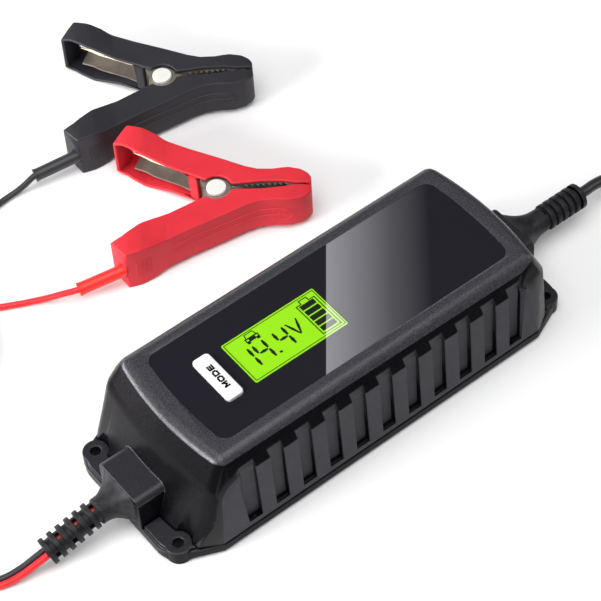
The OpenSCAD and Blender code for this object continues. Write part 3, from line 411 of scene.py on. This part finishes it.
def corner_finish_and_shade(material, dark, gloss):
    """Ends a matt wall along an arc at each corner, past which it has the smooth gloss and a dark
    colour that is painted shade on the rounded corner.
    """
    tree = material.node_tree
    nodes, links, shader = tree.nodes, tree.links, tree.nodes["Principled BSDF"]
    parts = nodes.new("ShaderNodeSeparateXYZ")
    links.new(nodes.new("ShaderNodeTexCoord").outputs["Object"], parts.inputs["Vector"])
    along, height = parts.outputs["X"], parts.outputs["Z"]
    lean = reckon(tree, "MULTIPLY", reckon(tree, "SUBTRACT", PANEL_TOP * MM, height), 0.1)
    out = reckon(tree, "SUBTRACT", reckon(tree, "ABSOLUTE", along), PANEL_HALF_L * MM)
    out = reckon(tree, "MAXIMUM", reckon(tree, "SUBTRACT", out, lean), 0)
    above = reckon(tree, "MAXIMUM", reckon(tree, "SUBTRACT", height, (PANEL_TOP - PANEL_R) * MM), 0)
    reach = reckon(tree, "SQRT", reckon(tree, "ADD", reckon(tree, "POWER", out, 2),
                                        reckon(tree, "POWER", above, 2)))
    past = nodes.new("ShaderNodeMapRange")
    past.inputs["From Min"].default_value = (PANEL_R - 0.1) * MM
    past.inputs["From Max"].default_value = (PANEL_R + 0.1) * MM
    links.new(reach, past.inputs["Value"])
    for socket, kind, other in (("Base Color", "RGBA", [*dark, 1]), ("Roughness", "FLOAT", gloss)):
        change = nodes.new("ShaderNodeMix")
        change.data_type = kind
        a, b = [i for i in change.inputs if i.name in "AB" and i.enabled]
        links.new(past.outputs["Result"], [i for i in change.inputs if i.name == "Factor"
                                           and i.enabled][0])
        links.new(shader.inputs[socket].links[0].from_socket, a)
        b.default_value = other
        links.new([o for o in change.outputs if o.enabled][0], shader.inputs[socket])


PANEL_HALF_L, PANEL_TOP, PANEL_R = 72.5, 40, 9.6
RIM_Z, WALL_FROM_Y, WALL_FOOT, WALL_END, MATT_FROM = 46, 25, 6.5, 100, -84
MATT, SPECKLED, SATIN = 1, 2, 3
# past the arc the matt walls take a dark colour: painted shade on the rounded corners
corner_finish_and_shade(matt_shell, ink(13, 12, 15), 0.3)
for node, name in (("lower_casing", "casing_base"), ("upper_casing", "casing_cover")):
    shell = rounded_copy(node, 0.45, soft=end_crease if node == "upper_casing" else None,
                         soft_r=3.0)
    shell.normal_update()
    for face in shell.faces:
        middle = face.calc_center_median() / MM
        if face.normal.z > 0.45 and middle.z > RIM_Z:
            face.material_index = SPECKLED
        elif face.normal.z > 0.3 and middle.z < 25 and abs(middle.x) > BOSS_FROM:
            face.material_index = SATIN
        elif abs(face.normal.y) > (0.3 if middle.x > MATT_FROM else 0.85) \
                and abs(face.normal.z) < 0.5 and middle.z > WALL_FOOT \
                and abs(middle.x) < WALL_END and abs(middle.y) > WALL_FROM_Y:
            face.material_index = MATT
    piece = shaded(new_piece(name, shell, closed=True))
    dress(piece, smooth_shell, matt_shell, speckled_shell, satin_shell)
    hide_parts(node)


# ---------------------------------------------------------------- label
# A glossy black sheet in a shallow recess of the top. Its colour holds a painted reflection: a
# pale sheen which starts along a sharp slanting line and fades towards the mains end.
LABEL_TOP = 49.4
PAINTED_REFLECTION_WAY, PAINTED_REFLECTION_FROM, PAINTED_REFLECTION_L = (0.7818, -0.6235, 0), 1.71, 46


def with_painted_reflection(material, tree, shader, plain, pale, strength):
    """Mixes the painted reflection into a surface's colour, in the label's own plane."""
    nodes, links = tree.nodes, tree.links
    across = nodes.new("ShaderNodeVectorMath")
    across.operation = "DOT_PRODUCT"
    across.inputs[1].default_value = [c / (PAINTED_REFLECTION_L * MM) for c in PAINTED_REFLECTION_WAY]
    links.new(nodes.new("ShaderNodeTexCoord").outputs["Object"], across.inputs[0])
    ramp = nodes.new("ShaderNodeValToRGB")
    start = PAINTED_REFLECTION_FROM / PAINTED_REFLECTION_L
    ramp.color_ramp.elements[0].position = start
    ramp.color_ramp.elements[0].color = [*plain, 1]
    ramp.color_ramp.elements[1].position = 1
    ramp.color_ramp.elements[1].color = [*plain, 1]
    for place, share in ((start + 0.004, 1), (start + 0.3, 0.62), (start + 0.6, 0.25)):
        stop = ramp.color_ramp.elements.new(place)
        mix = share * strength
        stop.color = [p * (1 - mix) + q * mix for p, q in zip(plain, pale)] + [1]
    links.new(across.outputs["Value"], ramp.inputs["Fac"])
    links.new(ramp.outputs["Color"], shader.inputs["Base Color"])
    return material


def glossy_grain(tree, shader, low, high, size, depth):
    """Faint unevenness of a glossy surface, in its gloss and its height."""
    nodes, links = tree.nodes, tree.links
    cloud = nodes.new("ShaderNodeTexNoise")
    cloud.inputs["Scale"].default_value = 1000 / size
    cloud.inputs["Detail"].default_value = 4
    links.new(nodes.new("ShaderNodeTexCoord").outputs["Object"], cloud.inputs["Vector"])
    gloss = nodes.new("ShaderNodeMapRange")
    gloss.inputs["To Min"].default_value = low
    gloss.inputs["To Max"].default_value = high
    links.new(cloud.outputs["Fac"], gloss.inputs["Value"])
    links.new(gloss.outputs["Result"], shader.inputs["Roughness"])
    relief = nodes.new("ShaderNodeBump")
    relief.inputs["Distance"].default_value = depth * MM
    links.new(cloud.outputs["Fac"], relief.inputs["Height"])
    links.new(relief.outputs["Normal"], shader.inputs["Normal"])


# the label's black with a painted reflection, a pale sheen, across it
label_sheet = with_painted_reflection(*wire_up("label_black", {"Specular IOR Level": 0.4}),
                      ink(28, 26, 33), ink(128, 128, 133), 1)
glossy_grain(label_sheet.node_tree, label_sheet.node_tree.nodes["Principled BSDF"],
             0.1, 0.22, 30, 0.004)
dress(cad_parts["label_panel"], label_sheet)


# ---------------------------------------------------------------- display
# A backlit green liquid-crystal window, a little below the label's face, with a dark line
# round it. Its segments show a voltage, a car and a battery with five bars.
WINDOW_AT, WINDOW_L, WINDOW_W, WINDOW_FOOT = (-19.6, 0), 48, 24.4, 48.1
window = bmesh.new()
bmesh.ops.create_cube(window, size=1)
bmesh.ops.scale(window, verts=window.verts,
                vec=Vector((WINDOW_L, WINDOW_W, LABEL_TOP - WINDOW_FOOT)) * MM)
bmesh.ops.translate(window, verts=window.verts,
                    vec=Vector((*WINDOW_AT, (LABEL_TOP + WINDOW_FOOT) / 2)) * MM)
corners = [e for e in window.edges if abs(e.verts[0].co.z - e.verts[1].co.z) > 0.5 * MM]
bmesh.ops.bevel(window, geom=corners, offset=0.7 * MM, segments=4, profile=0.5,
                affect="EDGES", material=-1)
rim = [e for e in window.edges if min(v.co.z for v in e.verts) > (LABEL_TOP - 0.1) * MM]
bmesh.ops.bevel(window, geom=rim, offset=0.15 * MM, segments=2, profile=0.5, affect="EDGES",
                material=-1)
window_piece = shaded(new_piece("display_window", window))
lcd_green, lcd_tree, lcd_shader = wire_up("display_green", {
    "Coat Weight": 0.3, "Coat Roughness": 0.05, "Emission Strength": 0.1})
# the painted reflection from the label runs on across the green window
with_painted_reflection(lcd_green, lcd_tree, lcd_shader, ink(136, 206, 20), ink(204, 234, 150), 0.9)
# the backlight's glow takes this colour, painted reflection and all
lcd_tree.links.new(lcd_shader.inputs["Base Color"].links[0].from_socket,
                   lcd_shader.inputs["Emission Color"])
glossy_grain(lcd_tree, lcd_shader, 0.16, 0.24, 20, 0.003)
# the segments turn pale grey where the painted reflection crosses them
mark_black = with_painted_reflection(*wire_up("display_segments", {"Coat Weight": 0.3, "Coat Roughness": 0.05}),
                     ink(14, 24, 10), ink(150, 150, 152), 0.95)
glossy_grain(mark_black.node_tree, mark_black.node_tree.nodes["Principled BSDF"],
             0.25, 0.4, 6, 0.003)
dress(window_piece, lcd_green)
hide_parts("lcd_window")


def stroke(print_bm, height, start, end, width, pointed=True):
    """One printed stroke from start to end, its ends cut to a point or square."""
    way = Vector(end) - Vector(start)
    made = bmesh.ops.create_circle(print_bm, cap_ends=True, segments=6 if pointed else 4,
                                   radius=width / 2 * MM)["verts"]
    if not pointed:
        bmesh.ops.rotate(print_bm, verts=made, matrix=Matrix.Rotation(pi / 4, 3, "Z"))
        bmesh.ops.scale(print_bm, verts=made, vec=(sqrt(2), sqrt(2), 1))
    for vert in made:
        if abs(vert.co.x) > 0.2 * width * MM:
            vert.co.x += (1 if vert.co.x > 0 else -1) * (way.length - width) / 2 * MM
    bmesh.ops.rotate(print_bm, verts=made, matrix=Matrix.Rotation(atan2(way.y, way.x), 3, "Z"))
    middle = (Vector(start) + Vector(end)) / 2
    bmesh.ops.translate(print_bm, verts=made, vec=Vector((middle.x, middle.y, height)) * MM)


def outlined(print_bm, height, points, width):
    """A printed line through the points, square at its corners."""
    for a, b in zip(points, points[1:]):
        over = (Vector(b) - Vector(a)).normalized() * width / 2
        stroke(print_bm, height, Vector(a) - over, Vector(b) + over, width, pointed=False)


marks = bmesh.new()
MARK_Z = LABEL_TOP + 0.07
SEG = 1.5
for x, segments in ((-36.1, "bc"), (-31.2, "bcfg"), (-20.9, "bcfg")):
    right = x if segments == "bc" else x + 2.45
    left = x - 2.45
    stroke(marks, MARK_Z, (right, 4.1), (right, -0.9), SEG)
    stroke(marks, MARK_Z, (right, -1.5), (right, -6.5), SEG)
    if "f" in segments:
        stroke(marks, MARK_Z, (left, 3.8), (left, -0.8), SEG)
        stroke(marks, MARK_Z, (left + 0.4, -1.2), (right - 0.4, -1.2), SEG)
stroke(marks, MARK_Z, (-26.6, -6), (-25.4, -6), 1.1, pointed=False)
stroke(marks, MARK_Z, (-16.5, 4.2), (-13.9, -3.8), SEG * 0.8)
stroke(marks, MARK_Z, (-10.9, 4.2), (-13.7, -3.8), SEG * 0.8)
# the battery: its outline with the pole, and five bars
outlined(marks, MARK_Z, [(-42.75, -11.25), (3.55, -11.25), (3.55, 11.25), (-42.75, 11.25),
                         (-42.75, -11.25)], 0.32)
outlined(marks, MARK_Z, [(-7.1, 8.2), (-4.6, 8.2), (-4.6, 10.1), (-0.7, 10.1), (-0.7, 8.2),
                         (2.2, 8.2), (2.2, -10), (-7.1, -10), (-7.1, 8.2)], 0.44)
for i in range(5):
    y = 6.25 - 3.43 * i
    stroke(marks, MARK_Z, (-6.1, y), (1.2, y), 2.75, pointed=False)
# the car, seen from the front: windscreen, body with two lamps, two wheels
for a, b, w in (((-33.1, 10.4), (-28.6, 10.4), 0.4), ((-32.9, 10.5), (-33.4, 8.2), 0.4),
                ((-28.8, 10.5), (-28.3, 8.2), 0.4), ((-34.2, 8.1), (-27.6, 8.1), 0.6),
                ((-34.2, 6.5), (-27.6, 6.5), 0.7), ((-32.5, 7.3), (-29.3, 7.3), 1.3),
                ((-34.2, 7.3), (-33.7, 7.3), 1.3), ((-28.1, 7.3), (-27.6, 7.3), 1.3),
                ((-34, 5.9), (-32.6, 5.9), 1.1), ((-29.2, 5.9), (-27.8, 5.9), 1.1)):
    stroke(marks, MARK_Z, a, b, w, pointed=False)
marks_piece = new_piece("display_marks", marks)
dress(marks_piece, mark_black)


# ---------------------------------------------------------------- mode button
# One white key in its own opening, moulded in hard plastic, with its printed name. It
# presses straight in.
BUTTON_AT, BUTTON_TOP = (-54, 0), 50.6
white_key = grained("button_white", ink(229, 229, 231), 0.32, grain=0.8, depth=0.006,
                    blotch=0.015, blotch_size=8, rough_swing=0.04)
key = shaded(new_piece("mode_key", rounded_copy("mode_button", 0.55, steps=3), "mode_button",
                       closed=True))
dress(key, white_key)
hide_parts("mode_button")

word = bmesh.new()
WORD_Z, STROKE_W = BUTTON_TOP + 0.06, 0.8
LETTERS = ((-6.6, ((0, 0), (0, 2), (1.15, 0.55), (2.3, 2), (2.3, 0))),
           (-3.15, ((0.5, 0), (1.9, 0), (2.4, 0.5), (2.4, 1.5), (1.9, 2), (0.5, 2), (0, 1.5),
                    (0, 0.5), (0.5, 0))),
           (0.45, ((0, 0), (0, 2), (1.7, 2), (2.4, 1.4), (2.4, 0.6), (1.7, 0), (0, 0))),
           (4.1, ((2.1, 0), (0, 0), (0, 2), (2.1, 2))), (4.1, ((0, 1), (1.9, 1))))
for along, letter in LETTERS:
    outlined(word, WORD_Z, [(BUTTON_AT[0] + 1.2 - v, along + u) for u, v in letter], STROKE_W)
word_piece = new_piece("mode_word", word, "mode_button")
dress(word_piece, grained("button_print", ink(7, 7, 8), 0.6, grain=0.4, depth=0.004, IOR=1.2))


# ---------------------------------------------------------------- strain reliefs
# Each cable leaves through a soft black boot: a flare that fills the casing's boss, then
# six rings joined by webs on alternate sides, with the cable showing in the gaps.
boot_rubber = grained("boot_rubber", ink(34, 34, 37), 0.5, grain=0.5, depth=0.03, blotch=0.6,
                      blotch_size=3.0, rough_swing=0.12, **{"Specular IOR Level": 0.22})


def flare(front, way, drop, length, tip_r):
    """A trumpet from a rounded rectangle at the boss down to a round neck."""
    bm = bmesh.new()
    ring = bmesh.ops.create_circle(bm, segments=40, radius=1)["verts"]
    for vert in ring:
        a = atan2(vert.co.y, vert.co.x)
        vert.co = Vector((0, cos(a), sin(a)))
    shapes = [v.co.copy() for v in ring]
    loop = list(bm.edges)
    stations = 10
    for i in range(stations + 1):
        t = i / stations
        lean = (1 - t) ** 2.4
        half_w, half_h = tip_r + (11 - tip_r) * lean, tip_r + (9.2 - tip_r) * lean
        power = 2 + 4 * (1 - t) ** 3
        if i:
            made = bmesh.ops.extrude_edge_only(bm, edges=loop)["geom"]
            ring = [g for g in made if isinstance(g, bmesh.types.BMVert)]
            loop = [g for g in made if isinstance(g, bmesh.types.BMEdge)
                    and all(v in ring for v in g.verts)]
        for vert, shape in zip(ring, shapes):
            c, s = shape.y, shape.z
            size = (abs(c) ** power + abs(s) ** power) ** (-1 / power)
            along = t * length
            vert.co = Vector((front + way * along, c * size * half_w,
                              14.6 + s * size * half_h - drop * t * t)) * MM
    bmesh.ops.contextual_create(bm, geom=loop)
    return bm


for node, name, front, way, drop, length, tip_r, slot in (
        ("battery_strain_relief", "battery_boot", -107.3, -1, 0.9, 11.6, 5.6, "black_rubber"),
        ("mains_strain_relief", "mains_boot", 107.3, 1, 0, 17, 5.6, "black_rubber")):
    boot = rounded_copy(node, 0.28)
    trumpet = flare(front, way, drop, length, tip_r)
    bmesh.ops.recalc_face_normals(trumpet, faces=trumpet.faces)
    joined = bpy.data.meshes.new("trumpet")
    trumpet.to_mesh(joined)
    trumpet.free()
    boot.from_mesh(joined)
    if node == "mains_strain_relief":
        bmesh.ops.create_cone(boot, cap_ends=True, segments=32, radius1=6.2 * MM,
                              radius2=4.6 * MM, depth=3.2 * MM,
                              matrix=Matrix.Translation((0.146, 0, 0.0146))
                              @ Matrix.Rotation(pi / 2, 4, "Y"))
    piece = shaded(new_piece(name, boot, closed=True))
    dress(piece, boot_rubber)
    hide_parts(node)


# ---------------------------------------------------------------- clamps
# Each clamp has two soft plastic covers over pressed metal jaws, joined by a flat-headed
# rivet with a spring round it. The fixed arm's back has two long ribs, a round sign and
# fine grip lines. Red is for the positive pole and black for the negative.
ARM_BACK = [(-41.2, 40), (-35, 38.2), (-28, 34.5), (-24, 31.3), (-12.6, 25), (3, 17.4),
            (13, 12.2), (19, 10), (26, 9.5), (33, 10.2), (38.5, 8.9)]


def back_at(x):
    """Distance of the arm's back from the middle line, at x along the clamp."""
    for (x0, y0), (x1, y1) in zip(ARM_BACK, ARM_BACK[1:]):
        if x0 <= x <= x1:
            return y0 + (y1 - y0) * (x - x0) / (x1 - x0)
    return ARM_BACK[-1][1]


def bead(bm, points, radius, sides=6):
    """A thin rib of round section along the points."""
    ring = None
    for i, point in enumerate(points):
        ahead = (Vector(points[min(i + 1, len(points) - 1)])
                 - Vector(points[max(i - 1, 0)])).normalized()
        turn = ahead.to_track_quat("Z", "Y").to_matrix().to_4x4()
        size = radius * (0.35 if i in (0, len(points) - 1) else 1)
        made = bmesh.ops.create_circle(bm, segments=sides, radius=size * MM, cap_ends=i in
                                       (0, len(points) - 1),
                                       matrix=Matrix.Translation(Vector(point) * MM) @ turn)
        edges = list({e for v in made["verts"] for e in v.link_edges})
        if ring:
            bmesh.ops.bridge_loops(bm, edges=ring + edges)
        ring = edges


cover_finish = {
    "red": grained("red_cover", ink(208, 42, 54), 0.55, grain=0.6, depth=0.012, blotch=0.05,
                   blotch_size=12, **{"Subsurface Weight": 0.05, "Specular IOR Level": 0.3,
                                      "Subsurface Radius": (0.002, 0.0005, 0.0005)}),
    "black": grained("black_cover", ink(39, 38, 43), 0.5, grain=0.6, depth=0.012, blotch=0.1,
                     blotch_size=12, **{"Specular IOR Level": 0.35})}
pressed_metal = grained("jaw_plating", ink(150, 143, 134), 0.38, grain=3, depth=0.004,
                        blotch=0.25, blotch_size=10, rough_swing=0.06, **{"Metallic": 0.55})
# the rolled edges' metal is painted far paler than the jaw metal: painted highlight
rib_metal_painted_highlight = grained("rib_plating_painted_highlight", ink(244, 236, 214), 0.35, grain=0.8, depth=0.01,
                    blotch=0.06, blotch_size=9, **{"Metallic": 0.2})
SIGN_X, SIGN_Z, SIGN_R, SIGN_ARM = 31, -1, 3.1, 1.7
CHANNEL_EDGE = [(-38.5, 28.1), (-33.8, 25.5), (-29.9, 22.4), (-17.5, 15.5), (-12.2, 11.9)]
rivet_metal = grained("rivet_plating", ink(233, 231, 226), 0.34, grain=0.5, depth=0.008,
                      blotch=0.03, blotch_size=4, rough_swing=0.08, **{"Metallic": 0.15})

for colour in ("red", "black"):
    pivot, turn = CLAMPS[colour]
    place = Matrix.Translation(Vector(pivot) * MM) @ Matrix.Rotation(radians(turn), 4, "Z")
    for arm in ("fixed", "moving"):
        node = "%s_%s_cover" % (colour, arm)
        body = "charger" if arm == "fixed" else colour + "_arm"
        cover = rounded_copy(node, 0.7, steps=3)
        side = -1 if arm == "fixed" else 1
        # the lips stand a little further apart behind the tip
        for vert in cover.verts:
            at = place.inverted() @ vert.co / MM
            if 7 < at.x < 33 and abs(at.y) < 2.45:
                lift = side * 0.8 * sin(pi * (at.x - 4) / 29)
                vert.co += place.to_3x3() @ Vector((0, lift, 0)) * MM
        extra = bmesh.new()
        for z0, z1 in ((3.4, 2.6), (-0.6, -1.4)):
            points = []
            for i in range(20):
                x = -21 + 52 * i / 19
                ease = max(0, min(1, (x + 4) / 20))
                ease = ease * ease * (3 - 2 * ease)
                points.append((x, side * (back_at(x) - 0.05), z0 * (1 - ease) + z1 * ease))
            bead(extra, points, 0.45)
        for i in range(7):
            x = -36.5 + 1.1 * i
            bead(extra, [(x, side * (back_at(x) - 0.02), z) for z in (-5, -4.8, 4.8, 5)], 0.33, 5)
        points = [(SIGN_X + SIGN_R * cos(2 * pi * k / 24),
                   side * (back_at(SIGN_X + SIGN_R * cos(2 * pi * k / 24)) - 0.02),
                   SIGN_Z + SIGN_R * sin(2 * pi * k / 24)) for k in range(25)]
        bead(extra, points, 0.3)
        bead(extra, [(SIGN_X + s * SIGN_ARM,
                      side * (back_at(SIGN_X + s * SIGN_ARM) - 0.02), SIGN_Z)
                     for s in (-1, -0.8, 0.8, 1)], 0.34)
        if colour == "red":
            bead(extra, [(SIGN_X, side * (back_at(SIGN_X) - 0.02), SIGN_Z + s * SIGN_ARM)
                         for s in (-1, -0.8, 0.8, 1)], 0.34)
        bmesh.ops.transform(extra, matrix=place, verts=extra.verts)
        bmesh.ops.recalc_face_normals(extra, faces=extra.faces)
        relief = bpy.data.meshes.new("relief")
        extra.to_mesh(relief)
        extra.free()
        cover.from_mesh(relief)
        piece = shaded(new_piece(node + "_skin", cover, body, closed=True))
        dress(piece, cover_finish[colour])
        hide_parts(node)
    # the upper edge of the moving arm's metal channel is rolled over twice, and its beads carry a
    # painted highlight: a far paler tone than the jaw metal
    ribs = bmesh.new()
    for back, z, radius in ((0, 6.05, 0.6), (0.5, 4.2, 0.5)):
        bead(ribs, [(x, y + back, z) for x, y in CHANNEL_EDGE], radius, 8)
    bmesh.ops.transform(ribs, matrix=place, verts=ribs.verts)
    ribs_piece = shaded(new_piece(colour + "_channel_ribs", ribs, colour + "_arm"))
    dress(ribs_piece, rib_metal_painted_highlight)

    head = rounded_copy(colour + "_rivet", 0.4, steps=3)
    bmesh.ops.scale(head, verts=head.verts, vec=(0.9, 0.9, 1),
                    space=Matrix.Translation(-Vector(pivot) * MM))
    rivet = shaded(new_piece(colour + "_rivet_head", head, closed=True))
    dress(rivet, rivet_metal)
    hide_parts(colour + "_rivet")
    # one leg of the spring leans on each arm; the spring's copy rides on no body and stands still
    wire = bmesh.new()
    wire.from_mesh(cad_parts[colour + "_spring"].data)
    bmesh.ops.remove_doubles(wire, verts=wire.verts, dist=0.001 * MM)
    spring = shaded(new_piece(colour + "_spring_wire", wire, body=None, closed=True))
    dress(spring, rivet_metal)
    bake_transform(spring)
    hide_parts(colour + "_spring")
    for part, finish in (("fixed_jaw", pressed_metal), ("moving_jaw", pressed_metal),
                         ("crimp", rivet_metal)):
        dress(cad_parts["%s_%s" % (colour, part)], finish)
    dress(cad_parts[colour + "_sleeve"],
          grained(colour + "_sleeve_rubber", ink(240, 44, 36) if colour == "red"
                  else ink(44, 44, 48), 0.42, grain=0.7, depth=0.01, blotch=0.06))


# ---------------------------------------------------------------- cables' finish
# Soft vinyl jackets, a little glossy, with fine lengthwise unevenness.
jackets = {
    "mains_cable": grained("mains_jacket", ink(36, 36, 38), 0.42, grain=0.9, depth=0.012,
                           blotch=0.12, blotch_size=5),
    "black_core": grained("black_jacket", ink(38, 38, 42), 0.36, grain=0.8, depth=0.01,
                          blotch=0.12, blotch_size=5),
    "red_core": grained("red_jacket", ink(226, 30, 38), 0.36, grain=0.8, depth=0.01,
                        blotch=0.08, blotch_size=5)}
for name, jacket in jackets.items():
    dress(bpy.data.objects[name], jacket)
tie_nylon = grained("tie_nylon", ink(30, 30, 32), 0.4, grain=0.4, depth=0.008, blotch=0.1,
                    blotch_size=3)
for name in ("mains_coil_tie", "battery_coil_tie"):
    dress(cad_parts[name], tie_nylon)


# ---------------------------------------------------------------- plug
# A flat two-pin plug moulded onto the mains cable in matt black vinyl. Its pins are
# nickelled brass, with an insulating sleeve next to the body.
def banded(material, axis, start, length, bands):
    """Bands of other finishes along an axis, each from a place in mm: colour, metalness."""
    tree = material.node_tree
    nodes, links, shader = tree.nodes, tree.links, tree.nodes["Principled BSDF"]
    parts = nodes.new("ShaderNodeSeparateXYZ")
    links.new(nodes.new("ShaderNodeTexCoord").outputs["Object"], parts.inputs["Vector"])
    way = nodes.new("ShaderNodeMapRange")
    way.inputs["From Min"].default_value = start * MM
    way.inputs["From Max"].default_value = (start + length) * MM
    links.new(parts.outputs[axis], way.inputs["Value"])
    tones, shine = (nodes.new("ShaderNodeValToRGB").color_ramp for _ in range(2))
    for ramp, values in ((tones, [[*c, 1] for _, c, _ in bands]),
                         (shine, [[m, m, m, 1] for _, _, m in bands])):
        ramp.interpolation = "CONSTANT"
        ramp.elements.remove(ramp.elements[1])
        for i, (place, value) in enumerate(zip([b[0] for b in bands], values)):
            at = (place - start) / length
            stop = ramp.elements[0] if i == 0 else ramp.elements.new(at)
            stop.position, stop.color = max(at, 0), value
    stained = nodes.new("ShaderNodeMix")
    stained.data_type, stained.blend_type = "RGBA", "MULTIPLY"
    stained.inputs["Factor"].default_value = 1
    ramps = [n for n in nodes if n.type == "VALTORGB" and n.color_ramp.interpolation == "CONSTANT"]
    for ramp in ramps:
        links.new(way.outputs["Result"], ramp.inputs["Fac"])
    links.new(shader.inputs["Base Color"].links[0].from_socket, stained.inputs["A"])
    links.new(ramps[0].outputs["Color"], stained.inputs["B"])
    links.new(stained.outputs["Result"], shader.inputs["Base Color"])
    links.new(ramps[1].outputs["Color"], shader.inputs["Metallic"])
    return material


plug = shaded(new_piece("plug_body", rounded_copy("mains_plug", 0.8, steps=3), closed=True))
dress(plug, grained("plug_vinyl", ink(36, 36, 38), 0.5, grain=0.5, depth=0.02, blotch=0.12,
                    blotch_size=5))
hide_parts("mains_plug")
PIN_TIP, PIN_SLEEVE = 123, 133
dress(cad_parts["plug_pins"], banded(
    grained("pin_nickel", (0.95, 0.95, 0.95), 0.25, grain=0.6, depth=0.004, blotch=0.04,
            blotch_size=3), "X", PIN_TIP, 27,
    [(PIN_TIP, ink(206, 200, 184), 1), (PIN_SLEEVE, ink(30, 30, 32), 0)]))


# ---------------------------------------------------------------- display module and switch
# The display is a milky light guide in a frame, soldered to the small board under the lid.
# The key's stem presses a tact switch with a steel cover.
dress(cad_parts["lcd_module"], grained("light_guide", ink(214, 220, 206), 0.4, grain=0.8,
                                            depth=0.006, blotch=0.05, blotch_size=8))
dress(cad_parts["switch_stem"], grained("stem_acetal", ink(40, 40, 44), 0.4, grain=0.4,
                                             depth=0.006, blotch=0.1, blotch_size=2))
dress(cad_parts["button_switch"], banded(
    grained("switch_cover", (0.95, 0.95, 0.95), 0.35, grain=0.4, depth=0.006, blotch=0.06,
            blotch_size=2), "Z", 40.8, 4, [(40.8, ink(34, 34, 36), 0),
                                           (43.4, ink(186, 188, 192), 1)]))


# ---------------------------------------------------------------- boards
# Glass-fibre boards under green lacquer, which shows the copper tracks as paler lines. A
# flat ribbon of grey wires joins them.
def board_lacquer(name, track_w):
    material, tree, shader = wire_up(name, {"Roughness": 0.3, "Coat Weight": 0.4})
    nodes, links = tree.nodes, tree.links
    place = nodes.new("ShaderNodeTexCoord").outputs["Object"]
    tracks = nodes.new("ShaderNodeTexBrick")
    tracks.offset = 0.37
    for socket, value in {"Scale": 1000, "Mortar Size": track_w, "Brick Width": 9.0,
                          "Row Height": 3.2, "Color1": [*ink(20, 74, 42), 1],
                          "Color2": [*ink(24, 84, 48), 1],
                          "Mortar": [*ink(58, 122, 66), 1]}.items():
        tracks.inputs[socket].default_value = value
    links.new(place, tracks.inputs["Vector"])
    links.new(tracks.outputs["Color"], shader.inputs["Base Color"])
    relief = nodes.new("ShaderNodeBump")
    relief.inputs["Distance"].default_value = 0.04 * MM
    links.new(tracks.outputs["Fac"], relief.inputs["Height"])
    links.new(relief.outputs["Normal"], shader.inputs["Normal"])
    return material


for name, track_w in (("main_board", 0.4), ("display_board", 0.2)):
    dress(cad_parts[name], board_lacquer(name + "_lacquer", track_w))


def ridged(material, axis, pitch, depth):
    """Adds even ridges along an axis to a grained surface: wires side by side, or windings."""
    tree = material.node_tree
    wave = tree.nodes.new("ShaderNodeTexWave")
    wave.bands_direction = axis
    wave.inputs["Scale"].default_value = 50 / pitch
    tree.links.new(tree.nodes.new("ShaderNodeTexCoord").outputs["Object"], wave.inputs["Vector"])
    relief = tree.nodes.new("ShaderNodeBump")
    relief.inputs["Distance"].default_value = depth * MM
    shader = tree.nodes["Principled BSDF"]
    tree.links.new(shader.inputs["Normal"].links[0].from_socket, relief.inputs["Normal"])
    tree.links.new(wave.outputs["Fac"], relief.inputs["Height"])
    tree.links.new(relief.outputs["Normal"], shader.inputs["Normal"])
    return material


dress(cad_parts["display_ribbon"], ridged(
    grained("ribbon_vinyl", ink(150, 152, 156), 0.45, grain=0.5, depth=0.006), "Y", 1.27, 0.3))


# ---------------------------------------------------------------- components
# The switch-mode parts on the main board: a ferrite transformer wound in yellow tape, a
# copper choke, sleeved capacitors, a glass fuse and transistors screwed to cast fins.
WOUND_FROM, WOUND_TO = 14.5, 28.5
dress(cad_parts["transformer"], banded(
    grained("transformer_core", (0.95, 0.95, 0.95), 0.5, grain=0.5, depth=0.01, blotch=0.12,
            blotch_size=3), "Z", 10, 24, [(10, ink(52, 52, 54), 0),
                                          (WOUND_FROM, ink(222, 184, 46), 0),
                                          (WOUND_TO, ink(52, 52, 54), 0)]))
dress(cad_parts["mains_choke"], ridged(
    grained("choke_copper", ink(190, 104, 54), 0.3, grain=0.4, depth=0.004, blotch=0.1,
            blotch_size=3, **{"Metallic": 0.9}), "Y", 0.9, 0.3))
for name, top in (("bulk_capacitor", 36.6), ("output_capacitors", 30.6)):
    dress(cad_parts[name], banded(
        grained(name + "_sleeve", (0.95, 0.95, 0.95), 0.4, grain=0.5, depth=0.006, blotch=0.08,
                blotch_size=5), "Z", 10, top - 9, [(10, ink(28, 34, 62), 0),
                                                   (top - 0.25, ink(196, 198, 202), 1)]))
dress(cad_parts["heatsinks"], ridged(
    grained("heatsink_alloy", ink(150, 152, 156), 0.42, grain=0.7, depth=0.01, blotch=0.08,
            blotch_size=6, **{"Metallic": 0.9}), "Z", 0.6, 0.05))
dress(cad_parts["power_transistors"], grained(
    "transistor_epoxy", ink(34, 34, 36), 0.55, grain=0.3, depth=0.01, blotch=0.15,
    blotch_size=2))
dress(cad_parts["fuse"], banded(
    grained("fuse_tube", (0.95, 0.95, 0.95), 0.2, grain=0.8, depth=0.003, blotch=0.05,
            blotch_size=4), "Y", -27, 22, [(-27, ink(200, 202, 206), 1),
                                           (-21, ink(214, 220, 218), 0),
                                           (-11.2, ink(200, 202, 206), 1)]))


# ---------------------------------------------------------------- inner wires and screws
# Vinyl wires go from each cable's end to the board, brown and blue for the mains, red and
# black for the battery. All screws are zinc-plated steel.
for name, low_side, high_side in (("mains_inner_wires", ink(110, 62, 34), ink(36, 78, 168)),
                                  ("battery_inner_wires", ink(34, 34, 38), ink(206, 34, 36))):
    dress(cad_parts[name], banded(
        grained(name + "_vinyl", (0.95, 0.95, 0.95), 0.4, grain=0.6, depth=0.008, blotch=0.08,
                blotch_size=3), "Y", -8, 16, [(-8, low_side, 0), (0, high_side, 0)]))
zinc = grained("zinc_plating", ink(196, 198, 200), 0.32, grain=0.5, depth=0.006, blotch=0.1,
               blotch_size=2, rough_swing=0.08, **{"Metallic": 0.95})
for name in ("casing_screws", "board_screws"):
    dress(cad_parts[name], zinc)
